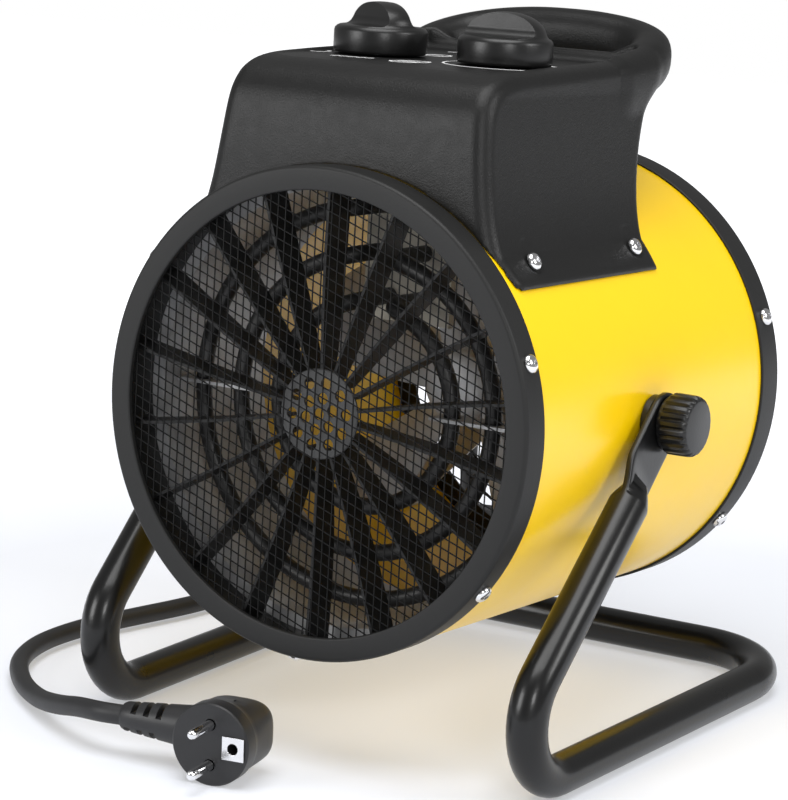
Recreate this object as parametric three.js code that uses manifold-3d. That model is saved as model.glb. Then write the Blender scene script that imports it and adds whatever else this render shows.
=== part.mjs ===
// Forced air heater: a steel drum with a fan and sheathed heating elements, closed by a
// moulded control cover with a handle, and clamped between the ends of a bent tube stand.
// Units are millimetres, +Z is up, and the warm air leaves towards -Y.
import * as THREE from 'three';
import { mergeVertices } from 'three/addons/utils/BufferGeometryUtils.js';
import Module from 'manifold-3d';

const wasm = await Module();
wasm.setup();

// ---------------------------------------------------------------- driving dimensions
const GAP = 0.3;              // air left between pieces that touch
const ROUND = 48;             // facets around the drum, the same on every ring of it

const PIVOT_Z = 159;          // tilt axis above the floor
const PIVOT_DEPTH = 119.6;    // tilt axis behind the drum's front face
const PIVOT_Y = -16.27;       // places the middle of the object's box on Y = 0
const TILT = THREE.MathUtils.degToRad(-2.4);   // the drum rests nose up

const RING_R = 114;           // outer radius of both bezels
const OPENING_R = 102.8;      // clear radius of the outlet
const SHELL_R = 112.6;        // outer radius of the drum
const SHELL_WALL = 1;
const DRUM_LENGTH = 254.8;
const FRONT_SKIRT = 16;
const REAR_SKIRT = 18.3;
const SHEET = 2.4;            // thickness of the bezel faces

const TUBE_R = 9.5;           // stand tube
const TUBE_SIDES = 12;
const FACET_R = TUBE_R / Math.cos(Math.PI / TUBE_SIDES);   // lays a flat of the tube on the floor
const STAND_FRONT = [118, -163];   // sharp corner of the stand, x and y from the pivot
const STAND_REAR = [124.5, 150];
const FRONT_BEND = 29;
const REAR_BEND = 50;
const LEG_X = 122.6;          // tube centre beside the pivot
const FLAT_X = [117.1, 121.1];     // the flattened end of the tube
const FLAT_R = 14;            // half width of the flattened end

const BOSS_X = [113, 116.8];
const CLAMP_X = [121.4, 137.5];
const CLAMP_R = 14.6;
const STUD_R = 4;
const RUNNING = 0.1;          // radial clearance of what turns in a hole

const MESH_PITCH = 18;
const MESH_BAR = 1.6;
const MESH_SLOPE = THREE.MathUtils.degToRad(-19.5);
const VANES = 18;
const ELEMENT_RADII = [92, 70, 48];
const ELEMENT_TUBE_R = 4;
const ELEMENT_DEPTH = 46;
const BLADES = 5;

const KNOB_X = 34.5;          // control knobs, either side of the middle
const KNOB_DEPTH = 96.8;
const ROOF_Z = 159.6;         // control panel above the drum's axis
const PANEL = { half: 61.5, front: 45, back: 179, corner: 10 };   // recess between the cover's rims
const WALL = 2.6;

const CORD_R = 4.8;
const CORD_Z = 6.4;           // centre of a cord that lies on the floor
const COIL = { x: -136, y: 243, outer: 62, turns: 1.5, step: 11.8, lift: 10.8 };
const PLUG = { x: -11.5, y: -176, z: 19.5, yaw: 8, face: 19.4, spout: 19.7, end: -54.5 };

const COLOURS = {
  yellow: [0xf2c400, 0.35, 0.0], black: [0x3c3c3a, 0.6, 0.0], ring: [0x3a3a39, 0.5, 0.2],
  tube: [0x121211, 0.3, 0.2], steel: [0xb9bbbd, 0.3, 0.9], dark: [0x1b1b1b, 0.55, 0.3],
  sheath: [0x6e6f70, 0.45, 0.7], shield: [0xa6a8a8, 0.4, 0.8], cord: [0x222223, 0.7, 0.0],
  ceramic: [0xd8d2c4, 0.6, 0.0], chrome: [0xd9dbdd, 0.12, 1.0], grey: [0x86888a, 0.45, 0.6],
};

// ---------------------------------------------------------------- mesh helpers
const V = (x, y, z) => new THREE.Vector3(x, y, z);

// Position-only mesh with shared corners, no collapsed triangles and its faces outwards.
function clean(geometry) {
  const bare = new THREE.BufferGeometry();
  bare.setAttribute('position', geometry.getAttribute('position').clone());
  if (geometry.index) bare.setIndex(geometry.index.clone());
  const merged = mergeVertices(bare, 1e-4);
  const ids = merged.index.array;
  const p = merged.getAttribute('position').array;
  const kept = [];
  let volume = 0;
  for (let i = 0; i < ids.length; i += 3) {
    const [a, b, c] = [ids[i], ids[i + 1], ids[i + 2]];
    if (a === b || b === c || c === a) continue;
    kept.push(a, b, c);
    const A = V(p[3 * a], p[3 * a + 1], p[3 * a + 2]);
    const B = V(p[3 * b], p[3 * b + 1], p[3 * b + 2]);
    volume += A.dot(B.cross(V(p[3 * c], p[3 * c + 1], p[3 * c + 2])));
  }
  if (volume < 0) for (let i = 0; i < kept.length; i += 3) [kept[i], kept[i + 1]] = [kept[i + 1], kept[i]];
  const out = new THREE.BufferGeometry();
  out.setAttribute('position', merged.getAttribute('position'));
  out.setIndex(kept);
  return out;
}

function solid(geometry) {
  const g = clean(geometry);
  return new wasm.Manifold(new wasm.Mesh({
    numProp: 3,
    vertProperties: new Float32Array(g.getAttribute('position').array),
    triVerts: new Uint32Array(g.index.array),
  }));
}

function surface(body) {
  const mesh = body.getMesh();
  const g = new THREE.BufferGeometry();
  g.setAttribute('position', new THREE.BufferAttribute(new Float32Array(mesh.vertProperties), 3));
  g.setIndex([...mesh.triVerts]);
  return g;
}

const join = (...parts) => surface(parts.map(solid).reduce((a, b) => a.add(b)));
const cut = (base, ...tools) => surface(tools.map(solid).reduce((a, b) => a.subtract(b), solid(base)));
const common = (a, b) => surface(solid(a).intersect(solid(b)));

// A ring or a disc about the Y axis from [radius, depth] points; a hollow profile closes itself.
function turned(profile, sides = ROUND) {
  const points = profile.map(([r, y]) => new THREE.Vector2(r, y));
  if (profile[0][0] > 0) points.push(points[0].clone());
  return new THREE.LatheGeometry(points, sides);
}

const band = (r0, r1, y0, y1, sides) => turned([[r0, y0], [r1, y0], [r1, y1], [r0, y1]], sides);
const disc = (r, y0, y1, sides) => turned([[0, y0], [r, y0], [r, y1], [0, y1]], sides);
const alongX = (g) => g.rotateZ(-Math.PI / 2);
const alongZ = (g) => g.rotateX(Math.PI / 2);

function block(x0, x1, y0, y1, z0, z1) {
  return new THREE.BoxGeometry(x1 - x0, y1 - y0, z1 - z0)
    .translate((x0 + x1) / 2, (y0 + y1) / 2, (z0 + z1) / 2);
}

// Extrudes an outline of [x, z] points along the depth, from y0 to y1.
function alongDepth(outline, y0, y1) {
  const shape = new THREE.Shape(outline.map(([x, z]) => new THREE.Vector2(x, z)));
  return new THREE.ExtrudeGeometry(shape, { depth: y1 - y0, bevelEnabled: false })
    .rotateX(Math.PI / 2).translate(0, y1, 0);
}

// Extrudes a side view of [depth, z] points across the object, from x0 to x1.
function across(outline, x0, x1) {
  const shape = new THREE.Shape(outline.map(([y, z]) => new THREE.Vector2(y, z)));
  return new THREE.ExtrudeGeometry(shape, { depth: x1 - x0, bevelEnabled: false })
    .applyMatrix4(new THREE.Matrix4().set(0, 0, 1, x0, 1, 0, 0, 0, 0, 1, 0, 0, 0, 0, 0, 1));
}

// Skins a row of rings that have the same number of points, and closes both ends.
function loft(rings) {
  const sides = rings[0].length;
  const points = [];
  const ids = [];
  rings.forEach((ring) => ring.forEach((v) => points.push(v.x, v.y, v.z)));
  for (let i = 0; i + 1 < rings.length; i++) {
    for (let j = 0; j < sides; j++) {
      const a = i * sides + j;
      const b = i * sides + ((j + 1) % sides);
      ids.push(a, b, b + sides, a, b + sides, a + sides);
    }
  }
  const last = (rings.length - 1) * sides;
  for (let j = 1; j + 1 < sides; j++) {
    ids.push(0, j + 1, j);
    ids.push(last, last + j, last + j + 1);
  }
  const g = new THREE.BufferGeometry();
  g.setAttribute('position', new THREE.Float32BufferAttribute(points, 3));
  g.setIndex(ids);
  return g;
}

// Ring of an oval section: a is its half size along side, b its half size along up.
function ovalRing(centre, side, up, a, b, sides, power = 1) {
  const ring = [];
  for (let k = 0; k < sides; k++) {
    const t = (2 * Math.PI * (k + 0.5)) / sides;
    const c = Math.sign(Math.cos(t)) * Math.abs(Math.cos(t)) ** power;
    const s = Math.sign(Math.sin(t)) * Math.abs(Math.sin(t)) ** power;
    ring.push(centre.clone().addScaledVector(side, a * c).addScaledVector(up, b * s));
  }
  return ring;
}

// Round tube through a list of points, with one section per point.
function tubeThrough(points, radius, sides) {
  const rings = [];
  let side = null;
  points.forEach((p, i) => {
    const before = points[Math.max(i - 1, 0)];
    const after = points[Math.min(i + 1, points.length - 1)];
    const along = after.clone().sub(before).normalize();
    if (!side) side = V(0, 0, 1).cross(along).lengthSq() > 0.01 ? V(0, 0, 1).cross(along) : V(1, 0, 0);
    side.addScaledVector(along, -side.dot(along)).normalize();
    const r = typeof radius === 'function' ? radius(i / (points.length - 1)) : radius;
    rings.push(ovalRing(p, side.clone(), along.clone().cross(side), r, r, sides));
  });
  return loft(rings);
}

function smooth(points, steps) {
  return new THREE.CatmullRomCurve3(points, false, 'centripetal').getSpacedPoints(steps);
}

// Rounds one corner of a bent tube: the points of the arc that replaces it.
function bend(before, corner, after, radius, steps) {
  const a = before.clone().sub(corner).normalize();
  const b = after.clone().sub(corner).normalize();
  const half = a.angleTo(b) / 2;
  const centre = corner.clone().addScaledVector(a.clone().add(b).normalize(), radius / Math.sin(half));
  const start = corner.clone().addScaledVector(a, radius / Math.tan(half)).sub(centre);
  const end = corner.clone().addScaledVector(b, radius / Math.tan(half)).sub(centre);
  const sweep = start.angleTo(end);
  const axis = start.clone().cross(end).normalize();
  return Array.from({ length: steps + 1 }, (_, i) =>
    start.clone().applyAxisAngle(axis, (sweep * i) / steps).add(centre));
}

// ---------------------------------------------------------------- assembly tree
const heater = new THREE.Group();
const floor = new THREE.Group();
floor.position.y = PIVOT_Y;
heater.add(floor);
const drum = new THREE.Group();            // turned about the pivot, depth from the front face
drum.position.set(0, PIVOT_Y, PIVOT_Z);
drum.rotation.x = TILT;
heater.add(drum);
const depth = new THREE.Group();
depth.position.y = -PIVOT_DEPTH;
drum.add(depth);

function piece(name, geometry, colour, parent = depth) {
  const [color, roughness, metalness] = COLOURS[colour];
  const material = new THREE.MeshStandardMaterial({ color, roughness, metalness });
  const mesh = new THREE.Mesh(clean(geometry), material);
  mesh.name = name;
  parent.add(mesh);
  return mesh;
}

// ---------------------------------------------------------------- stand
// One tube: flattened end, leg, floor rail, cross rail, floor rail, leg, flattened end.
function standHalf() {
  const pivot = V(LEG_X, 0, PIVOT_Z);
  const front = V(STAND_FRONT[0], STAND_FRONT[1], TUBE_R);
  const rear = V(STAND_REAR[0], STAND_REAR[1], TUBE_R);
  const down = front.clone().sub(pivot).normalize();
  const up = V(1, 0, 0).cross(down).normalize();
  const flatX = (FLAT_X[0] + FLAT_X[1]) / 2;
  const thin = (FLAT_X[1] - FLAT_X[0]) / 2;
  const rings = [];
  for (const s of [-1, -0.97, -0.82, -0.5, 0]) {
    const centre = pivot.clone().addScaledVector(down, s * FLAT_R).setX(flatX);
    const half = Math.max(FLAT_R * Math.sqrt(1 - s * s), 2.5);
    rings.push(ovalRing(centre, V(1, 0, 0), up, thin, half, TUBE_SIDES, 0.4));
  }
  const neck = [[27, thin, FLAT_R, 0.4], [34, 4.6, 13, 0.7], [41, 7.6, 11, 0.9], [49, FACET_R, FACET_R, 1]];
  for (const [s, a, b, power] of neck) {
    const centre = pivot.clone().addScaledVector(down, s);
    centre.x += ((flatX - LEG_X) * (49 - s)) / 22;
    rings.push(ovalRing(centre, V(1, 0, 0), up, a, b, TUBE_SIDES, power));
  }
  for (const p of bend(pivot, front, rear, FRONT_BEND, 9)) rings.push(p);
  for (const p of bend(front, rear, V(0, rear.y, TUBE_R), REAR_BEND, 7)) rings.push(p);
  return rings;
}

function standTube() {
  const half = standHalf();
  const bends = half.filter((r) => r instanceof THREE.Vector3);
  const rings = half.map((ring) => {
    if (!(ring instanceof THREE.Vector3)) return ring;
    const i = bends.indexOf(ring);
    const before = bends[Math.max(i - 1, 0)];
    const after = bends[Math.min(i + 1, bends.length - 1)];
    const along = i === 0 ? V(STAND_FRONT[0] - LEG_X, STAND_FRONT[1], TUBE_R - PIVOT_Z).normalize()
      : i === bends.length - 1 ? V(-1, 0, 0) : after.clone().sub(before).normalize();
    const onLeg = i < 9;
    const side = onLeg ? V(1, 0, 0) : along.clone().cross(V(0, 0, 1));
    side.addScaledVector(along, -side.dot(along)).normalize();
    const up = along.clone().cross(side).multiplyScalar(-1);
    return ovalRing(ring, side, up, FACET_R, FACET_R, TUBE_SIDES);
  });
  const other = rings.map((ring) => ring.map((v) => V(-v.x, v.y, v.z))).reverse();
  const tube = loft([...rings, ...other]);
  const drill = new THREE.CylinderGeometry(STUD_R + RUNNING, STUD_R + RUNNING, 300, 16);
  return cut(tube, alongX(drill).translate(0, 0, PIVOT_Z));
}

piece('stand_tube', standTube(), 'tube', floor);

// ---------------------------------------------------------------- drum and bezels
const frontBezel = turned([
  [OPENING_R, SHEET], [OPENING_R, 0], [RING_R - 1.6, 0], [RING_R, 1.6],
  [RING_R, FRONT_SKIRT], [SHELL_R + GAP, FRONT_SKIRT], [SHELL_R + GAP, SHEET],
]);
const rearBezel = turned([
  [OPENING_R, DRUM_LENGTH - SHEET], [OPENING_R, DRUM_LENGTH],
  [RING_R - 1.6, DRUM_LENGTH], [RING_R, DRUM_LENGTH - 1.6], [RING_R, DRUM_LENGTH - REAR_SKIRT],
  [SHELL_R + GAP, DRUM_LENGTH - REAR_SKIRT], [SHELL_R + GAP, DRUM_LENGTH - SHEET],
]);
piece('front_bezel', frontBezel, 'ring');
piece('rear_bezel', rearBezel, 'ring');

const MESH_Y = [SHEET + GAP, SHEET + GAP + 1.4];
const GRILLE_Y = [DRUM_LENGTH - SHEET - GAP - 1.6, DRUM_LENGTH - SHEET - GAP];
piece('drum_shell', band(SHELL_R - SHELL_WALL, SHELL_R, MESH_Y[1] + GAP, GRILLE_Y[0] - GAP), 'yellow');

// Cuts a convex cell of the mesh back to the inside of its round rim.
function clipToDisc(cell, radius, sides) {
  let poly = cell;
  for (let k = 0; k < sides && poly.length; k++) {
    const t = (2 * Math.PI * (k + 0.5)) / sides;
    const [nx, nz] = [Math.cos(t), Math.sin(t)];
    const limit = radius * Math.cos(Math.PI / sides);
    const inside = ([x, z]) => x * nx + z * nz <= limit;
    const next = [];
    poly.forEach((p, i) => {
      const q = poly[(i + 1) % poly.length];
      if (inside(p)) next.push(p);
      if (inside(p) !== inside(q)) {
        const dp = p[0] * nx + p[1] * nz - limit;
        const dq = q[0] * nx + q[1] * nz - limit;
        const f = dp / (dp - dq);
        next.push([p[0] + f * (q[0] - p[0]), p[1] + f * (q[1] - p[1])]);
      }
    });
    poly = next;
  }
  return poly;
}

const areaOf = (poly) => poly.reduce((sum, [x, z], i) => {
  const [u, w] = poly[(i + 1) % poly.length];
  return sum + (x * w - u * z) / 2;
}, 0);

// The outlet net: a flat guard of upright strands crossed by slanting ones, in a round rim.
function outletMesh() {
  const rim = new THREE.Shape();
  rim.absarc(0, 0, SHELL_R - 0.2, 0, 2 * Math.PI);
  const slope = Math.tan(MESH_SLOPE);
  const half = MESH_BAR / 2;
  const n = Math.ceil(OPENING_R / MESH_PITCH) + 1;
  for (let i = -n; i < n; i++) {
    for (let j = -n - 4; j < n + 4; j++) {
      const [x0, x1] = [i * MESH_PITCH + half, (i + 1) * MESH_PITCH - half];
      const z = (x, k, side) => k * MESH_PITCH + x * slope + side * half / Math.cos(MESH_SLOPE);
      const cell = [[x0, z(x0, j, 1)], [x1, z(x1, j, 1)], [x1, z(x1, j + 1, -1)], [x0, z(x0, j + 1, -1)]];
      const gap = clipToDisc(cell, OPENING_R - 0.6, 48);
      if (gap.length < 3 || areaOf(gap) < 12) continue;
      rim.holes.push(new THREE.Path(gap.map(([x, y]) => new THREE.Vector2(x, y))));
    }
  }
  const depth = MESH_Y[1] - MESH_Y[0];
  return new THREE.ExtrudeGeometry(rim, { depth, bevelEnabled: false, curveSegments: 24 })
    .rotateX(Math.PI / 2).translate(0, MESH_Y[1], 0);
}
piece('front_mesh', outletMesh(), 'dark');

// Rear inlet grille: rings of arc slots around a closed hub.
function inletGrille() {
  const plate = new THREE.Shape();
  plate.absarc(0, 0, SHELL_R - 0.2, 0, 2 * Math.PI);
  const rows = [[22, 39], [43, 60], [64, 81], [85, 101]];
  const sectors = 10;
  rows.forEach(([r0, r1], row) => {
    const web = 2.2;
    for (let k = 0; k < sectors; k++) {
      const steps = row < 2 ? 1 : 2;
      const mid = (2 * Math.PI * (k + (row % 2) / 2)) / sectors;
      const arc = (r, flip) => Array.from({ length: steps + 1 }, (_, i) => {
        const span = Math.PI / sectors - web / r;
        const t = mid + flip * (-span + (2 * span * i) / steps);
        return new THREE.Vector2(r * Math.cos(t), r * Math.sin(t));
      });
      plate.holes.push(new THREE.Path([...arc(r0, 1), ...arc(r1, -1)]));
    }
  });
  const depth = GRILLE_Y[1] - GRILLE_Y[0];
  return new THREE.ExtrudeGeometry(plate, { depth, bevelEnabled: false, curveSegments: 24 })
    .rotateX(Math.PI / 2).translate(0, GRILLE_Y[1], 0);
}
piece('rear_grille', inletGrille(), 'dark');

// Guard of deep radial vanes between a hub plate and a rim, just behind the mesh.
function vaneGuard() {
  const [y0, y1] = [MESH_Y[1] + 0.6, 25];
  let body = solid(band(108, 111.2, y0, y0 + 12, 24)).add(solid(disc(20, 7.4, 8.8, 36)));
  for (let k = 0; k < VANES; k++) {
    const t = ((10 + (360 / VANES) * k) * Math.PI) / 180;
    body = body.add(solid(block(18, 109, 7.4, y1, -0.6, 0.6).rotateY(-t)));
  }
  return surface(body);
}
piece('vane_guard', vaneGuard(), 'dark');

// ---------------------------------------------------------------- heating elements
const SHIELD_R = 103;
const SHIELD_Y = [28, 112];
piece('heat_shield', turned([
  [SHIELD_R, SHIELD_Y[0]], [SHELL_R - SHELL_WALL - 0.4, SHIELD_Y[0]],
  [SHELL_R - SHELL_WALL - 0.4, SHIELD_Y[0] + 0.8], [SHIELD_R + 0.8, SHIELD_Y[0] + 0.8],
  [SHIELD_R + 0.8, SHIELD_Y[1]], [SHIELD_R, SHIELD_Y[1]],
], 36), 'shield');

const BOARD_Y = [78, 84];
// A sheathed element: one open loop whose two ends turn back to the terminal board.
function elementLoop(radius) {
  const foot = 9 / radius;
  const points = [];
  const steps = Math.round(radius / 3.4);
  const arc = (t) => V(radius * Math.sin(t), ELEMENT_DEPTH, radius * Math.cos(t));
  const turn = 9;
  const lead = (t, dir) => {
    const base = arc(t);
    const tangent = V(Math.cos(t), 0, -Math.sin(t)).multiplyScalar(dir);
    const out = [];
    for (const a of [90, 60, 30]) {
      const q = (a * Math.PI) / 180;
      const p = base.clone().addScaledVector(tangent, -turn * Math.sin(q));
      out.push(p.add(V(0, turn * (1 - Math.cos(q)), 0)));
    }
    out.unshift(out[0].clone().setY(BOARD_Y[0] - GAP));
    return out;
  };
  const span = 2 * Math.PI - 2 * (foot + turn / radius);
  points.push(...lead(foot + turn / radius, 1));
  for (let i = 0; i <= steps; i++) points.push(arc(foot + turn / radius + (span * i) / steps));
  points.push(...lead(2 * Math.PI - foot - turn / radius, -1).reverse());
  return tubeThrough(points, ELEMENT_TUBE_R, 7);
}
['outer', 'middle', 'inner'].forEach((name, i) =>
  piece(`heating_element_${name}`, elementLoop(ELEMENT_RADII[i]), 'sheath'));

// Two radial straps carry the loops on the heat shield.
for (const [name, side] of [['right', 1], ['left', -1]]) {
  const strap = block(40, SHIELD_R - 0.6, ELEMENT_DEPTH - 8, ELEMENT_DEPTH + 8, -0.8, 0.8);
  const holes = ELEMENT_RADII.map((r) =>
    alongZ(new THREE.CylinderGeometry(5, 5, 10, 12)).translate(r, ELEMENT_DEPTH, 0));
  const g = cut(strap, ...holes);
  piece(`element_strap_${name}`, side > 0 ? g : g.rotateY(Math.PI), 'shield');
}
piece('element_board', block(-24, 24, ...BOARD_Y, 36, 99.8), 'ceramic');
piece('thermal_cutout', join(block(-9, 9, 60, 78, 104.4, 107),
  alongZ(disc(6.5, 0, 2.8, 20)).translate(0, 69, 106.8)), 'ceramic');

// ---------------------------------------------------------------- fan and motor
const FAN_Y = [126, 150];
const MOTOR_Y = [162, 212];
function fanBlades() {
  let body = solid(turned([[3.3, FAN_Y[0] + 4], [3.3, FAN_Y[1]], [18, FAN_Y[1]], [18, FAN_Y[0] + 3],
    [14, FAN_Y[0]], [5, FAN_Y[0] - 2], [3.3, FAN_Y[0] - 2]], 20));
  for (let k = 0; k < BLADES; k++) {
    const rings = [[15, 12, 50], [38, 18, 40], [62, 23, 31], [86, 25, 24]].map(([r, chord, pitch], row) => {
      const p = THREE.MathUtils.degToRad(pitch);
      const along = V(Math.cos(p), Math.sin(p), 0);
      const face = V(-Math.sin(p), Math.cos(p), 0);
      const lean = row * 3;
      const camber = chord * 0.12;
      return [[-1, 0], [-0.5, 1], [0.2, 1.2], [1, 0], [0.2, 1.2], [-0.5, 1]].map(([u, c], i) =>
        V(lean, (FAN_Y[0] + FAN_Y[1]) / 2, r).addScaledVector(along, u * chord)
          .addScaledVector(face, -c * camber + (i === 0 || i === 3 ? 0 : i < 3 ? -0.8 : 0.8)));
    });
    body = body.add(solid(loft(rings).rotateY((2 * Math.PI * k) / BLADES)));
  }
  return surface(body);
}
piece('fan_blades', fanBlades(), 'grey');
piece('motor_shaft', disc(3, FAN_Y[0] + 4.4, MOTOR_Y[0] + 36, 16), 'steel');
piece('motor_can', turned([
  [0, MOTOR_Y[0] + 37], [3 + RUNNING, MOTOR_Y[0] + 37], [3 + RUNNING, MOTOR_Y[0] - 6],
  [8, MOTOR_Y[0] - 6], [8, MOTOR_Y[0] - 1], [26, MOTOR_Y[0]], [31, MOTOR_Y[0] + 4],
  [31, MOTOR_Y[1] - 2], [29, MOTOR_Y[1]], [0, MOTOR_Y[1]],
], 24), 'steel');
const FOOT_R = SHELL_R - SHELL_WALL - 0.6;
function motorBracket() {
  const y = [MOTOR_Y[1] + GAP, MOTOR_Y[1] + GAP + 2];
  let body = solid(band(12, 32, ...y, 40));
  for (let k = 0; k < 4; k++) {
    const arm = block(28, FOOT_R, ...y, -7, 7);
    const foot = block(FOOT_R - 2, FOOT_R, y[0], y[1] + 12, -7, 7);
    body = body.add(solid(join(arm, foot).rotateY(Math.PI / 4 + (k * Math.PI) / 2)));
  }
  return surface(body);
}
piece('motor_bracket', motorBracket(), 'shield');

// ---------------------------------------------------------------- control cover
// Half width of the cover at a height: nearly upright walls that flare out onto the drum.
const COVER_Z = 66.5;
const sideX = (z) => 70 + 0.075 * (ROOF_Z - z) + 15 * Math.exp(-(z - 66) / 18);

function frontOutline(inset) {
  const corner = 11;
  const right = [];
  for (const z of [COVER_Z - 2 * inset, 70, 76, 85, 97, 115, 144]) right.push([sideX(z) - inset, z]);
  const top = ROOF_Z + (inset ? -inset : 9);
  for (let i = 0; i <= 4; i++) {
    const t = (i * Math.PI) / 8;
    right.push([sideX(150) - inset - corner + corner * Math.cos(t), top - corner + corner * Math.sin(t)]);
  }
  const left = right.map(([x, z]) => [-x, z]).reverse();
  return [...right, ...left];
}

// Side view: the face leans back and rolls into rims that climb to the handle; inside, the
// roof is flat. The back hollows in under the handle.
function sideOutline(inset) {
  const low = COVER_Z - 2 * inset;
  const face = [[24 + inset, low], [19 + inset, 71], [17 + inset, 78], [17.4 + inset, 102],
    [18.6 + inset, 122], [21 + inset, 140]];
  const rims = [[23.6, 147], [28.5, 153], [36, 157], [48, 159.6], [75, 161.2], [108, 162.4],
    [150, 164.6], [184, 167]];
  const roof = inset ? [[32, 146], [46, ROOF_Z - inset], [180, ROOF_Z - inset]] : rims;
  const back = [[184 - inset, 152], [177 - inset, 141],
    [169.5 - inset, 123], [164.5 - inset, 103], [161 - inset, 84], [156 - inset, low]];
  return [...face, ...roof, ...back];
}

// The sunk control panel between the rims, as the tool that cuts it.
function panelRecess() {
  const { half, front, back, corner } = PANEL;
  const shape = new THREE.Shape();
  shape.moveTo(-half + corner, front);
  shape.lineTo(half - corner, front);
  shape.absarc(half - corner, front + corner, corner, -Math.PI / 2, 0);
  shape.lineTo(half, back);
  shape.lineTo(-half, back);
  shape.absarc(-half + corner, front + corner, corner, Math.PI, 1.5 * Math.PI);
  return new THREE.ExtrudeGeometry(shape, { depth: 30, bevelEnabled: false, curveSegments: 4 })
    .translate(0, 0, ROOF_Z);
}

// The handle: a rounded bar that leaves the side walls, rises and closes behind the roof.
function handleLoop() {
  const route = [[61, 158, 152.6], [61, 176, 155.9], [59.5, 192, 160.5], [53, 206, 164.6], [40, 214, 168],
    [20, 217, 170.4], [0, 217.5, 171]];
  const half = route.map(([x, y, z]) => V(x, y, z));
  const other = half.slice(0, -1).reverse().map((v) => V(-v.x, v.y, v.z));
  const line = smooth([...half, ...other], 20);
  const rings = line.map((p, i) => {
    const along = line[Math.min(i + 1, 20)].clone().sub(line[Math.max(i - 1, 0)]).normalize();
    const side = along.clone().cross(V(0, 0, 1)).normalize();
    return ovalRing(p, side, side.clone().cross(along), 10.6, 12.6, 12, 0.8);
  });
  return loft(rings);
}

const COVER_SCREWS = [[1, 44.5], [1, 141], [-1, 44.5], [-1, 141]];
const SCREW_Z = 77;
const SCREW_SLANT = THREE.MathUtils.degToRad(29);
const GLAND = { x: -40, z: 118 };

// Places a turned piece on the cover's flank, its axis pointing out of the wall.
function onFlank(geometry, side, y, lift) {
  return geometry.rotateZ(-Math.PI / 2).translate(lift, 0, 0).rotateY(-SCREW_SLANT)
    .translate(sideX(SCREW_Z), y, SCREW_Z).scale(side, 1, 1);
}

function controlCover() {
  const outer = common(alongDepth(frontOutline(0), 10, 200), across(sideOutline(0), -110, 110));
  const inner = common(alongDepth(frontOutline(WALL), 10, 200), across(sideOutline(WALL), -110, 110));
  const shell = solid(cut(outer, inner)).add(solid(handleLoop()));
  const tools = [
    disc(SHELL_R + GAP + 0.1, -10, 260),
    panelRecess(),
    alongZ(disc(4.6, -12, 12, 20)).translate(KNOB_X, KNOB_DEPTH, ROOF_Z),
    alongZ(disc(4.6, -12, 12, 20)).translate(-KNOB_X, KNOB_DEPTH, ROOF_Z),
    disc(8, 155, 190, 20).translate(GLAND.x, 0, GLAND.z),
  ];
  const body = tools.map(solid).reduce((a, b) => a.subtract(b), shell);
  return surface(body.decompose().sort((a, b) => b.volume() - a.volume())[0]);
}
piece('control_cover', controlCover(), 'black');

// ---------------------------------------------------------------- controls
// Round knob with a raised grip: a dome scooped away on both sides of a finger bar.
function gripKnob() {
  const skirt = turned([[0, 0], [22.5, 0], [22, 11], [20.6, 12.6], [0, 12.9]], 24);
  const dome = common(new THREE.SphereGeometry(19.4, 18, 10).translate(0, 5, 0), disc(24, 11, 40, 18));
  const scoops = [
    block(-30, 30, 0, 30, 0, 30).rotateX(0.3).translate(0, 12.4, 8),
    block(-30, 30, 0, 30, -30, 0).rotateX(-0.3).translate(0, 12.4, -8),
  ];
  const grip = cut(dome, ...scoops);
  const bore = disc(3.4, -1, 16, 16);
  return alongZ(cut(join(skirt, grip), bore));
}
const SPINDLE_Z = [146, 174];
for (const [name, side] of [['mode', -1], ['thermostat', 1]]) {
  const at = [side * KNOB_X, KNOB_DEPTH];
  piece(`${name}_knob`, gripKnob().translate(at[0], at[1], ROOF_Z + 1), 'black');
  piece(`${name}_spindle`, alongZ(disc(3, ...SPINDLE_Z, 16)).translate(at[0], at[1], 0), 'steel');
}
const socket = (side) => alongZ(disc(3 + RUNNING, SPINDLE_Z[0] - 0.4, 200, 16))
  .translate(side * KNOB_X, KNOB_DEPTH, 0);
piece('rotary_switch', cut(join(
  block(-KNOB_X - 15, -KNOB_X + 15, KNOB_DEPTH - 15, KNOB_DEPTH + 15, 134, 150),
  alongZ(disc(9, 149, 156.6, 24)).translate(-KNOB_X, KNOB_DEPTH, 0),
), socket(-1)), 'ceramic');
piece('thermostat_body', cut(join(
  alongZ(disc(16, 136, 148, 32)).translate(KNOB_X, KNOB_DEPTH, 0),
  alongZ(disc(8, 147, 156.6, 24)).translate(KNOB_X, KNOB_DEPTH, 0),
), socket(1)), 'shield');
piece('thermostat_bulb', tubeThrough(smooth([
  V(KNOB_X, KNOB_DEPTH, 135.6), V(KNOB_X, KNOB_DEPTH, 128), V(30, 88, 121), V(26, 74, 118),
  V(24, 60, 117.6), V(24, 34, 117.6),
], 18), (f) => (f > 0.55 ? 3 : 1.2), 6), 'steel');
piece('terminal_block', join(
  block(2, 38, 138, 152, 114, 122),
  ...[0, 1, 2].map((i) => block(4 + 12 * i, 12 + 12 * i, 138, 152, 121, 129)),
), 'ceramic');
piece('cable_gland', turned([
  [0, 158], [10.5, 158], [10.5, 161], [7.6, 161], [7.6, 172.4], [10, 172.4], [10, 176], [8.6, 178],
  [6.6, 206], [0, 206],
], 16).translate(GLAND.x, 0, GLAND.z), 'black');

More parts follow.
